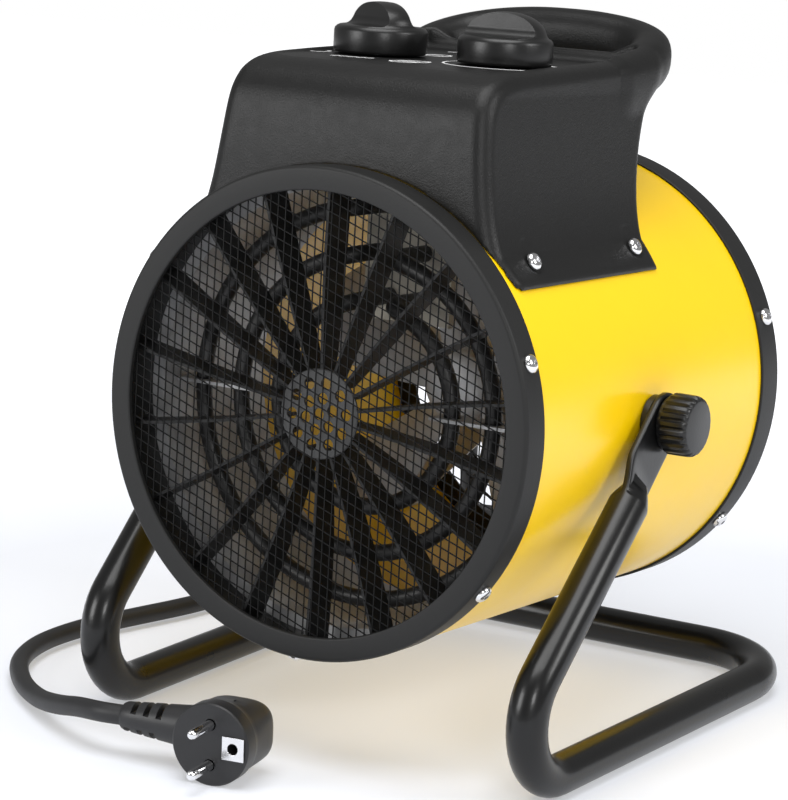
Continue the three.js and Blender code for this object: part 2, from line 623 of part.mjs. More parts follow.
// ---------------------------------------------------------------- pivots and clamps
// A hand knob with ribs all round, moulded on a threaded stud.
function clampKnob() {
  const ribs = 14;
  const outline = [];
  for (let k = 0; k < ribs * 4; k++) {
    const t = (2 * Math.PI * k) / (ribs * 4);
    const r = CLAMP_R - (k % 4 === 3 || k % 4 === 2 ? 0.9 : 0);
    outline.push([r * Math.cos(t), r * Math.sin(t)]);
  }
  const length = CLAMP_X[1] - CLAMP_X[0];
  const body = alongDepth(outline, 0, length);
  const lens = turned([[0, 0], [12.6, 0], [13, 2], [CLAMP_R, 2.6], [CLAMP_R, length - 2.4],
    [12.4, length], [0, length]], 28);
  return cut(common(body, lens), disc(STUD_R + GAP, -1, 7, 16));
}
for (const [name, side] of [['right', 1], ['left', -1]]) {
  const place = (g, x) => {
    const h = g.rotateZ(-Math.PI / 2).translate(x, PIVOT_DEPTH, 0);
    return side > 0 ? h : h.scale(-1, 1, 1);
  };
  const boss = band(STUD_R + RUNNING, 12.3, 0, BOSS_X[1] - BOSS_X[0], 16);
  const stud = disc(STUD_R, 0, CLAMP_X[0] + 6.7 - BOSS_X[0] - GAP, 16);
  piece(`pivot_boss_${name}`, place(boss, BOSS_X[0]), 'black');
  piece(`clamp_knob_${name}`, place(clampKnob(), CLAMP_X[0]), 'black');
  piece(`clamp_stud_${name}`, place(stud, BOSS_X[0] + GAP), 'steel');
}

// ---------------------------------------------------------------- screws
const panHead = () => turned([[0, 0], [4.4, 0], [4.1, 1.5], [2.6, 2.6], [0, 2.9]], 8);
function rimScrew(angle, y) {
  const t = THREE.MathUtils.degToRad(angle);
  return panHead().rotateZ(-Math.PI / 2).translate(RING_R + 0.25, y, 0).rotateY(-t);
}
[19, -37, -93, -149, 147].forEach((angle, i) => {
  piece(`front_screw_${i + 1}`, rimScrew(angle, 8.6), 'chrome');
  piece(`rear_screw_${i + 1}`, rimScrew(angle, DRUM_LENGTH - 9.4), 'chrome');
});
COVER_SCREWS.forEach(([side, y], i) =>
  piece(`cover_screw_${i + 1}`, onFlank(panHead(), side, y, 0.6), 'chrome'));

// ---------------------------------------------------------------- cord
const END = 2 * CORD_R + 0.4;  // straight end of a stretch, square to what it meets

// Piled loops: in along the floor, up a layer where the spiral turns, and out again on top.
function coilPoints() {
  const points = [];
  const turns = 2 * COIL.turns + 0.5;
  const steps = Math.round(turns * 24);
  const inEnd = COIL.turns / turns;
  const outStart = (COIL.turns + 0.5) / turns;
  for (let i = 0; i <= steps; i++) {
    const f = i / steps;
    const along = f < inEnd ? f / inEnd : f > outStart ? (1 - f) / (1 - outStart) : 1;
    const r = COIL.outer - COIL.step * COIL.turns * along;
    const climb = Math.min(Math.max((f - inEnd) / (outStart - inEnd), 0), 1);
    const z = CORD_Z + COIL.lift * climb * climb * (3 - 2 * climb);
    const t = 2 * Math.PI * turns * f;
    points.push(V(COIL.x + r * Math.cos(t), COIL.y + r * Math.sin(t), z));
  }
  points.unshift(V(COIL.x + COIL.outer, COIL.y - END, CORD_Z));
  points.push(V(COIL.x - COIL.outer, COIL.y - END, CORD_Z + COIL.lift));
  return points;
}

// Least gap between two stretches of the wound tube that are more than half a turn apart.
function leastGap(points, reach, radius) {
  let least = Infinity;
  for (let i = 0; i < points.length; i++) {
    for (let j = i + reach; j < points.length; j++) {
      least = Math.min(least, points[i].distanceTo(points[j]));
    }
  }
  return least - 2 * radius;
}

const lengthOf = (points) => points.slice(1).reduce((sum, p, i) => sum + p.distanceTo(points[i]), 0);

const coil = coilPoints();
console.log('coil: least gap', leastGap(coil, 14, CORD_R).toFixed(2), 'mm');
piece('cord_coil', tubeThrough(coil, CORD_R, 6), 'cord', floor);

function drumPoint(x, y, z) {
  return V(x, y - PIVOT_DEPTH, z).applyAxisAngle(V(1, 0, 0), TILT).add(V(0, 0, PIVOT_Z));
}

// The drop leaves the gland straight back, clears the rear bezel and hangs down to the coil.
const drop = smooth([
  drumPoint(GLAND.x, 206 + GAP, GLAND.z), drumPoint(GLAND.x, 216, GLAND.z),
  V(-40.6, 113, 272.2), V(-42.2, 128, 270), V(-44.8, 140.8, 264.2), V(-48.6, 151, 255.2),
  V(-53.4, 158.2, 243.4), V(-62.5, 164, 221), V(-73, 170, 191), V(-82, 173.5, 154),
  V(-88, 176, 114), V(-90, 177, 80), V(-88, 177.6, 54), V(-85.4, 179, 40.5),
  V(-82.4, 183.4, 29.4), V(-79.3, 190.5, 19.9), V(-76.6, 199, 13.3), V(-74.8, 210.5, 8.3),
  V(-74, COIL.y - 2 * END, CORD_Z), V(-74, COIL.y - END - GAP, CORD_Z),
], 24);
piece('cord_drop', tubeThrough(drop, CORD_R, 8), 'cord', floor);

// Places plug work modelled about the middle of its face, the pins towards -Y.
const plugged = (g) => g.rotateZ((PLUG.yaw * Math.PI) / 180).translate(PLUG.x, PLUG.y, PLUG.z);
const plugPoint = (x, y, z) => V(x, y, z).applyAxisAngle(V(0, 0, 1), (PLUG.yaw * Math.PI) / 180)
  .add(V(PLUG.x, PLUG.y, PLUG.z));

const run = smooth([
  V(COIL.x - COIL.outer, COIL.y - END - GAP, CORD_Z + COIL.lift),
  V(COIL.x - COIL.outer, COIL.y - 2 * END, CORD_Z + COIL.lift),
  V(-198, 212, 16.1), V(-198, 200, 12.9), V(-197.6, 188, 9.2), V(-196, 175, 7), V(-193, 160, CORD_Z),
  V(-187, 130, CORD_Z), V(-183.6, 95, CORD_Z), V(-186, 55, CORD_Z), V(-196.8, 7, CORD_Z),
  V(-203.3, -24, CORD_Z), V(-202, -59, CORD_Z), V(-190, -90, CORD_Z), V(-166, -118, CORD_Z),
  V(-140, -138, 8), V(-117, -152, 12.5), V(-98, -160.5, 17),
  plugPoint(PLUG.end - 12, PLUG.spout, -0.2), plugPoint(PLUG.end - GAP, PLUG.spout, 0),
], 36);
piece('cord_run', tubeThrough(run, CORD_R, 8), 'cord', floor);
const lengths = [drop, coil, run].map((points) => lengthOf(points).toFixed(0));
console.log('cord: drop, coil and run', lengths.join(', '), 'mm');

// Band that ties the bundle where both layers lie side by side.
function cordTie() {
  const r = [COIL.outer - COIL.step * COIL.turns, COIL.outer];
  const shift = COIL.step * 0.25;
  const near = r[0] + shift - CORD_R - 0.7;
  const far = r[1] - shift + CORD_R + 0.7;
  const top = CORD_Z + COIL.lift + CORD_R + 0.5;
  const band = (grow, half) => block(-half, half, near - grow, far + grow, 1 - grow * 0.7, top + grow);
  return cut(band(1, 3), band(0, 5)).translate(COIL.x, COIL.y, 0);
}
piece('cord_tie', cordTie(), 'dark', floor);

// ---------------------------------------------------------------- plug
const PINS = [-9.5, 9.5];
const PIN_R = 2.4;
function plugBody() {
  const outlines = [[0, PLUG.face, PLUG.face, 1], [8, PLUG.face, PLUG.face, 1], [12, 18.4, 18.2, 0.95],
    [22, 17, 15, 0.85], [30, 15.6, 12.6, 0.8], [34, 12.6, 10, 0.8]];
  const rings = outlines.map(([y, a, b, power]) =>
    ovalRing(V(y > 8 ? -1 : 0, y, 0), V(1, 0, 0), V(0, 0, 1), a, b, 24, power));
  const spout = turned([[0, 12], [10.5, 14], [9.4, 22], [8.2, 34], [7.2, -PLUG.end - 1],
    [6.4, -PLUG.end], [0, -PLUG.end]], 16).rotateZ(Math.PI / 2).translate(0, PLUG.spout, 0);
  const tools = PINS.map((z) => disc(PIN_R + 0.3, -1, 4, 12).translate(0, 0, z));
  tools.push(disc(2.6, -1, 12, 12).translate(12, 0, 0));
  for (let i = 0; i < 3; i++) {
    const x = -33 - 7 * i;
    tools.push(block(x - 1.2, x + 1.2, PLUG.spout - 12, PLUG.spout + 12, 5.2, 12));
    tools.push(block(x - 4.7, x - 2.3, PLUG.spout - 12, PLUG.spout + 12, -12, -5.2));
  }
  return plugged(cut(join(loft(rings), spout), ...tools));
}
piece('plug_body', plugBody(), 'dark', floor);
PINS.forEach((z, i) => piece(`plug_pin_${i + 1}`, plugged(turned([
  [0, 3.7], [PIN_R, 3.7], [PIN_R, -17.4], [1.8, -18.7], [0, -19.2],
], 10).translate(0, 0, z)), 'chrome', floor));
const clip = cut(block(6.6, 17.6, -1.1, -GAP, -5.5, 5.5), disc(2.6, -3, 3, 16).translate(12, 0, 0));
piece('plug_earth_clip', plugged(clip), 'chrome', floor);

export default heater;
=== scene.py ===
"""A yellow drum fan heater on a bent tube stand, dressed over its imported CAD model."""
import math
import bmesh
import bpy
import numpy as np
import openvdb
from mathutils import Matrix, Vector


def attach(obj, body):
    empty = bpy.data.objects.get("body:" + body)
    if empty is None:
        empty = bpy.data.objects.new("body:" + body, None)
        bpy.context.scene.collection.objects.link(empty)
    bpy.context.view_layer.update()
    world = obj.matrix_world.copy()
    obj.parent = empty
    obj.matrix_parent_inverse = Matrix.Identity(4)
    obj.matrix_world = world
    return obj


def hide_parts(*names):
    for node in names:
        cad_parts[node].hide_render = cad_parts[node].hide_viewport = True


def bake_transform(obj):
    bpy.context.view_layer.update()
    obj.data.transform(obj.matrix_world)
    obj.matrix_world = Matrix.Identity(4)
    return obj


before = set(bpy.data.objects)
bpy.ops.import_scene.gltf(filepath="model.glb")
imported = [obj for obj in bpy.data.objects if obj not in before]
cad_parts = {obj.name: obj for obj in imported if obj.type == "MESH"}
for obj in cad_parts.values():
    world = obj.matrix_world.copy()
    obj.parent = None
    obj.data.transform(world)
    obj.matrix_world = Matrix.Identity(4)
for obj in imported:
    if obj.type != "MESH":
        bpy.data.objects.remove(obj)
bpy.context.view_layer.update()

# ------------------------------------------------------------------ camera
# The photograph was taken from the heater's front right, slightly above it, with a long
# lens that was turned two degrees. The camera looks at a point inside the drum.
MM = 0.001
PIVOT = Vector((0, -16.27, 159)) * MM
AZIMUTH = math.radians(31.97)
ELEVATION = math.radians(11.5)
ROLL = math.radians(2.0)
CAMERA_DISTANCE = 1.4914
FOCAL_PIXELS = 3143.1
PHOTO_SIZE = (788, 800)

forward = Vector((-math.sin(AZIMUTH) * math.cos(ELEVATION), math.cos(AZIMUTH) * math.cos(ELEVATION),
                  -math.sin(ELEVATION)))
level = Vector((math.cos(AZIMUTH), math.sin(AZIMUTH), 0))
upright = level.cross(forward)
right = level * math.cos(ROLL) + upright * math.sin(ROLL)
top = upright * math.cos(ROLL) - level * math.sin(ROLL)
look_at = PIVOT + Vector((0, -47.67, 1.38)) * MM

lens = bpy.data.cameras.new("camera")
lens.sensor_fit = "HORIZONTAL"
lens.lens = FOCAL_PIXELS * lens.sensor_width / PHOTO_SIZE[0]
camera = bpy.data.objects.new("camera", lens)
camera.matrix_world = Matrix.Translation(look_at - forward * CAMERA_DISTANCE) @ Matrix(
    (right, top, -forward)).transposed().to_4x4()
bpy.context.collection.objects.link(camera)
bpy.context.scene.camera = camera

# ------------------------------------------------------------------ floor and light
# A pale floor that keeps the heater's shadow, a white surround, and four soft lamps: a
# large one overhead, one on the right and two in front, left and right.
FLOOR_SIZE = 6.0
FLOOR_COLOUR = (0.54, 0.56, 0.61)
GLOW_NEAR = (0.36, 0.36, 0.36, 1)
GLOW_FAR = (1, 1, 1, 1)
AMBIENT = 0.27


def mesh_object(name, vertices, faces, smooth=None):
    mesh = bpy.data.meshes.new(name)
    mesh.from_pydata([tuple(v) for v in vertices], [], [tuple(f) for f in faces])
    mesh.update()
    if smooth:
        mesh.shade_smooth()
        mesh.set_sharp_from_angle(angle=math.radians(smooth))
    made = bpy.data.objects.new(name, mesh)
    bpy.context.collection.objects.link(made)
    return made


class Wire:
    """A shader socket that takes part in Python expressions, each operator adding its node."""

    def __init__(self, finish, socket):
        self.finish = finish
        self.socket = socket

    def maths(self, operation, *terms):
        return self.finish.node("Math", {"operation": operation}, dict(enumerate(terms)))

    def __add__(self, other):
        return self.maths("ADD", self, other)

    def __sub__(self, other):
        return self.maths("SUBTRACT", self, other)

    def __mul__(self, other):
        return self.maths("MULTIPLY", self, other)


class Finish:
    """One material on a Principled shader, whose fixed values sit on the shader's sockets."""

    def __init__(self, name, **fixed):
        self.material = bpy.data.materials.new(name)
        self.material.use_nodes = True
        self.tree = self.material.node_tree
        self.shader = self.tree.nodes["Principled BSDF"]
        for socket, value in fixed.items():
            self.shader.inputs[socket.replace("_", " ")].default_value = value

    def node(self, kind, settings=None, inputs=None, output=0):
        made = self.tree.nodes.new("ShaderNode" + kind)
        for key, value in (settings or {}).items():
            setattr(made, key, value)
        for key, value in (inputs or {}).items():
            if isinstance(value, Wire):
                self.tree.links.new(value.socket, made.inputs[key])
            else:
                made.inputs[key].default_value = value
        return Wire(self, made.outputs[output])

    def feed(self, socket, wire):
        self.tree.links.new(wire.socket, self.shader.inputs[socket])

    def place(self):
        return self.node("TexCoord", output="Object")

    def noise(self, scale, detail=3.0, where=None):
        return self.node("TexNoise", {}, {"Vector": where or self.place(), "Scale": scale, "Detail": detail})

    def blend(self, factor, first, second):
        return self.node("Mix", {"data_type": "RGBA"}, {0: factor, 6: first, 7: second}, 2)

    def bump(self, height, distance, strength=1.0):
        inputs = {"Height": height, "Distance": distance, "Strength": strength}
        self.feed("Normal", self.node("Bump", {}, inputs))

    def paint(self, cloud, dark, light):
        """A base colour that wanders between two, each three numbers, or one for a grey."""
        shades = [(*c, 1) if isinstance(c, tuple) else (c, c, c, 1) for c in (dark, light)]
        self.feed("Base Color", self.blend(cloud, *shades))


half = FLOOR_SIZE / 2
corners = [(-half, -half, 0), (half, -half, 0), (half, half, 0), (-half, half, 0)]
floor = mesh_object("floor", corners, [(0, 1, 2, 3)])
floor_paint = Finish("floor_paint", Roughness=0.9, Specular_IOR_Level=0.1, Emission_Strength=1.0)
floor_paint.paint(floor_paint.noise(3.0), FLOOR_COLOUR, (0.52, 0.54, 0.59))
far_off = floor_paint.node("VectorMath", {"operation": "LENGTH"}, {0: floor_paint.place()}, 1)
floor_paint.feed("Emission Color", floor_paint.blend(far_off * 1.4 - 0.5, GLOW_NEAR, GLOW_FAR))
floor.data.materials.append(floor_paint.material)

world = bpy.data.worlds.new("surround")
bpy.context.scene.world = world
world.use_nodes = True
sky = world.node_tree
ray = sky.nodes.new("ShaderNodeLightPath")
strength = sky.nodes.new("ShaderNodeMapRange")
strength.inputs["To Min"].default_value = AMBIENT
strength.inputs["To Max"].default_value = 1.0
sky.links.new(ray.outputs["Is Camera Ray"], strength.inputs["Value"])
sky.nodes["Background"].inputs["Color"].default_value = (1, 1, 1, 1)
sky.links.new(strength.outputs[0], sky.nodes["Background"].inputs["Strength"])
bpy.context.scene.view_settings.view_transform = "Standard"

LAMPS = {
    "overhead_softbox": ((0.1, -0.3, 1.6), 1.2, 22),
    "right_softbox": ((1.5, 0.2, 1.0), 0.6, 10),
    "front_softbox": ((-0.9, -1.5, 0.7), 0.7, 12),
    "near_softbox": ((1.3, -1.5, 0.9), 0.45, 9),
}
for name, (spot, size, power) in LAMPS.items():
    lamp = bpy.data.lights.new(name, "AREA")
    lamp.size = size
    lamp.energy = power
    holder = bpy.data.objects.new(name, lamp)
    aim = (Vector(spot) - PIVOT).to_track_quat("Z", "Y")
    holder.matrix_world = Matrix.Translation(spot) @ aim.to_matrix().to_4x4()
    bpy.context.collection.objects.link(holder)

# ------------------------------------------------------------------ mains cord
# A round rubber cable, 9.6 mm thick. It leaves its sleeve at the back of the cover, hangs
# behind the drum, is wound and tied behind the stand, and runs round to the plug in front.
CORD_RADIUS = 4.8
CORD_Z = 6.4
TILT = math.radians(-2.4)
FACE_TO_PIVOT = 119.6
DRUM = (Matrix.Translation(PIVOT) @ Matrix.Rotation(TILT, 4, "X")
        @ Matrix.Translation((0, -FACE_TO_PIVOT * MM, 0)))
STAND = Matrix.Translation((PIVOT.x, PIVOT.y, 0))
SLEEVE_END = (-40, 206, 118)
PLUG_FACE = Vector((-11.5, -176, 19.5))
PLUG_YAW = math.radians(8)
PLUG = STAND @ Matrix.Translation(PLUG_FACE * MM) @ Matrix.Rotation(PLUG_YAW, 4, "Z")
SPOUT_END = -54.5
SPOUT_DEPTH = 19.7
COIL = {"x": -136, "y": 243, "outer": 62, "turns": 1.5, "step": 11.8, "lift": 10.8}
STRAIGHT = 10.0


def drum_mm(*point):
    return STAND.inverted() @ DRUM @ (Vector(point) * MM) / MM


def plug_mm(*point):
    return STAND.inverted() @ PLUG @ (Vector(point) * MM) / MM


def curve_through(points, step=4.0):
    """A centripetal Catmull-Rom curve through the points, sampled about every step mm."""
    p = [np.array(q, float) for q in points]
    p = [2 * p[0] - p[1]] + p + [2 * p[-1] - p[-2]]
    line = []
    for a, b, c, d in zip(p, p[1:], p[2:], p[3:]):
        t = np.cumsum([0] + [max(np.linalg.norm(v - u), 1e-6) ** 0.5 for u, v in ((a, b), (b, c), (c, d))])
        for f in np.arange(0, 1, min(1, step / np.linalg.norm(c - b))):
            x = t[1] + f * (t[2] - t[1])
            ab = ((t[1] - x) * a + (x - t[0]) * b) / (t[1] - t[0])
            bc = ((t[2] - x) * b + (x - t[1]) * c) / (t[2] - t[1])
            cd = ((t[3] - x) * c + (x - t[2]) * d) / (t[3] - t[2])
            abc = ((t[2] - x) * ab + (x - t[0]) * bc) / (t[2] - t[0])
            bcd = ((t[3] - x) * bc + (x - t[1]) * cd) / (t[3] - t[1])
            line.append(((t[2] - x) * abc + (x - t[1]) * bcd) / (t[2] - t[1]))
    return line + [p[-2]]


def skin(rings, closed=False):
    """Vertices and faces of a row of rings with the same number of points, capped at its ends."""
    sides = len(rings[0])
    vertices = [tuple(v) for ring in rings for v in ring]
    faces = []
    for i in range(len(rings) if closed else len(rings) - 1):
        a, b = i * sides, (i + 1) % len(rings) * sides
        faces += [(a + j, a + (j + 1) % sides, b + (j + 1) % sides, b + j) for j in range(sides)]
    if not closed:
        faces += [tuple(range(sides))[::-1], tuple(range(len(vertices) - sides, len(vertices)))]
    return vertices, faces


def oval(centre, side, up, half_width, half_height, sides, power=1.0):
    ring = []
    for k in range(sides):
        t = math.tau * (k + 0.5) / sides
        c, s = math.cos(t), math.sin(t)
        u = half_width * math.copysign(abs(c) ** power, c)
        v = half_height * math.copysign(abs(s) ** power, s)
        ring.append(np.array(centre) + u * np.array(side) + v * np.array(up))
    return ring


def tube(line, radius, sides=16):
    """Rings round a line, carried along it without twisting; radius may be a function of 0 to 1."""
    rings = []
    side = None
    for i, p in enumerate(line):
        along = np.array(line[min(i + 1, len(line) - 1)]) - np.array(line[max(i - 1, 0)])
        along = along / np.linalg.norm(along)
        if side is None:
            side = np.cross((0, 0, 1), along)
            side = side if np.linalg.norm(side) > 0.1 else np.array((1.0, 0, 0))
        side = side - along * side.dot(along)
        side = side / np.linalg.norm(side)
        r = radius(i / (len(line) - 1)) if callable(radius) else radius
        rings.append(oval(p, side, np.cross(along, side), r, r, sides))
    return rings


def piece(name, shape, finish, body, slot, placed=STAND, smooth=35, instead_of=()):
    """A mesh in millimetres in its own frame, finished, set on its body and shown for its node."""
    vertices, faces = shape
    made = mesh_object(name, [placed @ (Vector(v) * MM) for v in vertices], faces, smooth)
    made.data.materials.append(finish.material)
    if body:
        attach(made, body)
    if instead_of:
        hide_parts(*instead_of)
    return made


rubber = Finish("cord_rubber", Roughness=0.5, Specular_IOR_Level=0.4)
rubber_bloom = rubber.noise(60, 4)
rubber.paint(rubber_bloom, (0.012, 0.012, 0.013), (0.022, 0.022, 0.023))
rubber.feed("Roughness", rubber_bloom * 0.14 + 0.42)
rubber.bump(rubber.noise(900, 2), 0.00012, 0.35)

drop = curve_through([
    drum_mm(-40, 206.3, 118), drum_mm(-40, 216, 118), (-40.6, 113, 272.2), (-42.2, 128, 270),
    (-44.8, 140.8, 264.2), (-48.6, 151, 255.2), (-53.4, 158.2, 243.4), (-62.5, 164, 221),
    (-73, 170, 191), (-82, 173.5, 154), (-88, 176, 114), (-90, 177, 80), (-88, 177.6, 54),
    (-85.4, 179, 40.5), (-82.4, 183.4, 29.4), (-79.3, 190.5, 19.9), (-76.6, 199, 13.3), (-74.8, 210.5, 8.3),
    (-74, COIL["y"] - 2 * STRAIGHT, CORD_Z), (-74, COIL["y"] - STRAIGHT, CORD_Z)])
coil = []
all_turns = 2 * COIL["turns"] + 0.5
for k in range(int(all_turns * 40) + 1):
    turn = k / 40
    rise = min(max((turn - COIL["turns"]) / 0.5, 0), 1)
    inward = min(turn, all_turns - turn, COIL["turns"])
    radius = COIL["outer"] - COIL["step"] * inward
    height = CORD_Z + COIL["lift"] * rise * rise * (3 - 2 * rise)
    coil.append(np.array((COIL["x"] + radius * math.cos(math.tau * turn),
                          COIL["y"] + radius * math.sin(math.tau * turn), height)))
left = COIL["x"] - COIL["outer"]
high = CORD_Z + COIL["lift"]
run = curve_through([
    (left, COIL["y"] - STRAIGHT, high), (left, COIL["y"] - 2 * STRAIGHT, high), (-198, 212, 16.1),
    (-198, 200, 12.9), (-197.6, 188, 9.2), (-196, 175, 7), (-193, 160, CORD_Z),
    (-187, 130, CORD_Z), (-183.6, 95, CORD_Z), (-186, 55, CORD_Z),
    (-196.8, 7, CORD_Z), (-203.3, -24, CORD_Z), (-202, -59, CORD_Z), (-190, -90, CORD_Z),
    (-166, -118, CORD_Z), (-140, -138, 8), (-117, -152, 12.5), (-98, -160.5, 17),
    plug_mm(SPOUT_END - 12, SPOUT_DEPTH, -0.2), plug_mm(SPOUT_END - 0.3, SPOUT_DEPTH, 0)])
cord_line = drop + coil + run
cord = piece("mains_cord", skin(tube(cord_line, CORD_RADIUS, 20)), rubber, None, "rubber",
             instead_of=("cord_drop", "cord_coil", "cord_run"))
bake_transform(cord)
strap = Finish("tie_plastic", Roughness=0.55)
strap.paint(strap.noise(200), 0.012, 0.03)


def keep(node, finish):
    """Finishes a piece of the CAD model that stays in view as it is."""
    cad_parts[node].data.materials.clear()
    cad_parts[node].data.materials.append(finish.material)


keep("cord_tie", strap)

# ------------------------------------------------------------------ cord sleeve
# The moulded sleeve that carries the cord out of the cover's back wall: a flange, a neck
# held in the wall, and a tapered tail with flexing grooves.
SLEEVE_PROFILE = [(0, 158), (10.5, 158), (10.5, 161), (7.6, 161), (7.6, 172.4), (10, 172.6), (10.2, 175.4),
                  (8.8, 177)]


def turned(profile, sides=96):
    """Revolves [radius, depth] points about the drum's axis; a hollow profile joins its ends."""
    rings = []
    for k in range(sides):
        t = math.tau * k / sides
        rings.append([(r * math.cos(t), y, r * math.sin(t)) for r, y in profile])
    vertices, faces = [v for ring in rings for v in ring], []
    count = len(profile)
    loop = count if profile[0][0] > 0 else count - 1
    for k in range(sides):
        a, b = k * count, (k + 1) % sides * count
        for j in range(loop):
            n = (j + 1) % count
            faces.append((b + j, b + n, a + n, a + j))
    return vertices, faces


def merged(made, distance=1e-6):
    """Welds the points that meet on a turned piece's axis and drops its empty faces."""
    work = bmesh.new()
    work.from_mesh(made.data)
    bmesh.ops.remove_doubles(work, verts=work.verts, dist=distance)
    bmesh.ops.dissolve_degenerate(work, edges=work.edges, dist=distance)
    bmesh.ops.recalc_face_normals(work, faces=work.faces)
    work.to_mesh(made.data)
    work.free()
    made.data.set_sharp_from_angle(angle=math.radians(35))
    return made


def lathe(name, profile, sides, *finished, **shown):
    """A piece of revolution with its points welded."""
    return merged(piece(name, turned(profile, sides), *finished, **shown))


sleeve = list(SLEEVE_PROFILE)
for groove in range(5):
    start = 179 + 5 * groove
    r = 8.7 - 0.42 * groove
    sleeve += [(r, start), (r - 0.1, start + 3), (r - 1.5, start + 3.3), (r - 1.5, start + 4.7)]
sleeve += [(6.6, 204), (6.4, 205.6), (5.6, 206), (0, 206)]
to_sleeve = DRUM @ Matrix.Translation(Vector((SLEEVE_END[0], 0, SLEEVE_END[2])) * MM)
lathe("cord_sleeve", sleeve, 40, rubber, "drum", "rubber", to_sleeve, instead_of=("cable_gland",))

# ------------------------------------------------------------------ plug
# An earthed side-entry plug, moulded in black rubber round two plated pins: a round face
# with the square earth contact, a thick back, and a slotted spout for the cord.
plug_rubber = Finish("plug_rubber", Roughness=0.42, Specular_IOR_Level=0.45)
plug_bloom = plug_rubber.noise(45, 4)
plug_rubber.paint(plug_bloom, (0.010, 0.010, 0.011), (0.02, 0.02, 0.021))
plug_rubber.feed("Roughness", plug_bloom * 0.16 + 0.34)
plug_rubber.bump(plug_rubber.noise(1400, 2), 0.0001, 0.3)

PLUG_FACE_RADIUS = 19.4
PIN_HEIGHTS = (-9.5, 9.5)
EARTH_X = 12


def solid_block(x0, x1, y0, y1, z0, z1):
    corners = [(x, y, z) for x in (x0, x1) for y in (y0, y1) for z in (z0, z1)]
    return corners, [(0, 1, 3, 2), (4, 6, 7, 5), (0, 4, 5, 1), (2, 3, 7, 6), (0, 2, 6, 4), (1, 5, 7, 3)]


def tool(shape, placed):
    vertices, faces = shape
    return merged(mesh_object("tool", [placed @ (Vector(v) * MM) for v in vertices], faces))


def bore(radius, start, end, placed, sides=24):
    """A round cutter that reaches from depth start to depth end."""
    return tool(turned([(0, start), (radius, start), (radius, end), (0, end)], sides), placed)


def carved(base, tools, operation="DIFFERENCE"):
    """Applies the tools to the base one after another and throws them away."""
    for cutter in tools:
        step = base.modifiers.new("carve", "BOOLEAN")
        step.operation = operation
        step.solver = "EXACT"
        step.object = cutter
        cooked = bpy.data.meshes.new_from_object(base.evaluated_get(bpy.context.evaluated_depsgraph_get()))
        base.modifiers.clear()
        base.data = cooked
        bpy.data.objects.remove(cutter)
    base.data.shade_smooth()
    base.data.set_sharp_from_angle(angle=math.radians(35))
    return base


def softened(made, width, segments=2, angle=40):
    """Rounds a piece's edges by width mm so that they catch the light."""
    rounding = made.modifiers.new("rounding", "BEVEL")
    rounding.width = width * MM
    rounding.segments = segments
    rounding.limit_method = "ANGLE"
    rounding.angle_limit = math.radians(angle)
    rounding.harden_normals = True
    return made


back = [(0, 0.965), (0.7, 1), (8, 1), (9.2, 0.985), (10, 0.955), (13, 0.945), (19, 0.93), (25, 0.915),
        (29, 0.9), (31.6, 0.87), (33.2, 0.8), (34, 0.66)]
shell_rings = []
for depth, size in back:
    flat = min(max(0.0, (depth - 9) / 16), 1)
    shell_rings.append(oval((-0.6 * flat, depth, 0), (1, 0, 0), (0, 0, 1), PLUG_FACE_RADIUS * size,
                            PLUG_FACE_RADIUS * size * (1 - 0.16 * flat), 64, 1 - 0.38 * flat))
plug = piece("plug_moulding", skin(shell_rings), plug_rubber, "stand", "rubber", PLUG,
             instead_of=("plug_body",))
spout = [(0, 11), (11, 12), (10.6, 17), (9.7, 24), (8.9, 32), (8.2, 40), (7.4, 48), (6.9, 53), (6.2, 54.5),
         (0, 54.5)]
turn_spout = PLUG @ Matrix.Translation((0, SPOUT_DEPTH * MM, 0)) @ Matrix.Rotation(math.pi / 2, 4, "Z")
carved(plug, [tool(turned(spout, 40), turn_spout)], "UNION")
earth = PLUG @ Matrix.Translation((EARTH_X * MM, 0, 0))
thumb_rest = (PLUG @ Matrix.Translation(Vector((6.5, 22.5, 16.6)) * MM) @ Matrix.Rotation(math.pi / 2, 4, "X")
              @ Matrix.Diagonal((5.2, 0.35, 7.6, 1)))
cuts = [bore(2.8, -1, 3.6, PLUG @ Matrix.Translation((0, 0, z * MM))) for z in PIN_HEIGHTS]
cuts += [bore(2.7, -1, 12, earth), bore(1, -4, 4, thumb_rest, 32)]
for k in range(3):
    x = -33 - 7 * k
    cuts.append(tool(solid_block(x - 1.5, x + 1.5, SPOUT_DEPTH - 13, SPOUT_DEPTH + 13, 3.6, 14), PLUG))
    cuts.append(tool(solid_block(x - 5.0, x - 2.0, SPOUT_DEPTH - 13, SPOUT_DEPTH + 13, -14, -3.6), PLUG))
softened(carved(plug, cuts), 0.35)

plated = Finish("plated_steel", Metallic=1.0, Roughness=0.14)
plating = plated.noise(220, 3)
plated.paint(plating, (0.72, 0.72, 0.73), (0.86, 0.86, 0.87))
plated.feed("Roughness", plating * 0.12 + 0.1)
for number, z in enumerate(PIN_HEIGHTS, 1):
    pin = [(0, 3.7), (2.4, 3.7), (2.4, -16.6), (2.2, -17.8), (1.6, -18.8), (0.8, -19.15), (0, -19.2)]
    lathe(f"plug_contact_{number}", pin[::-1], 32, plated, "stand", "chrome",
          PLUG @ Matrix.Translation((0, 0, z * MM)), instead_of=(f"plug_pin_{number}",))
clip = piece("earth_contact", solid_block(6.6, 17.6, -1.1, -0.3, -5.5, 5.5), plated, "stand", "chrome", PLUG,
             instead_of=("plug_earth_clip",))
softened(carved(clip, [bore(2.6, -3, 3, earth, 32)]), 0.25)

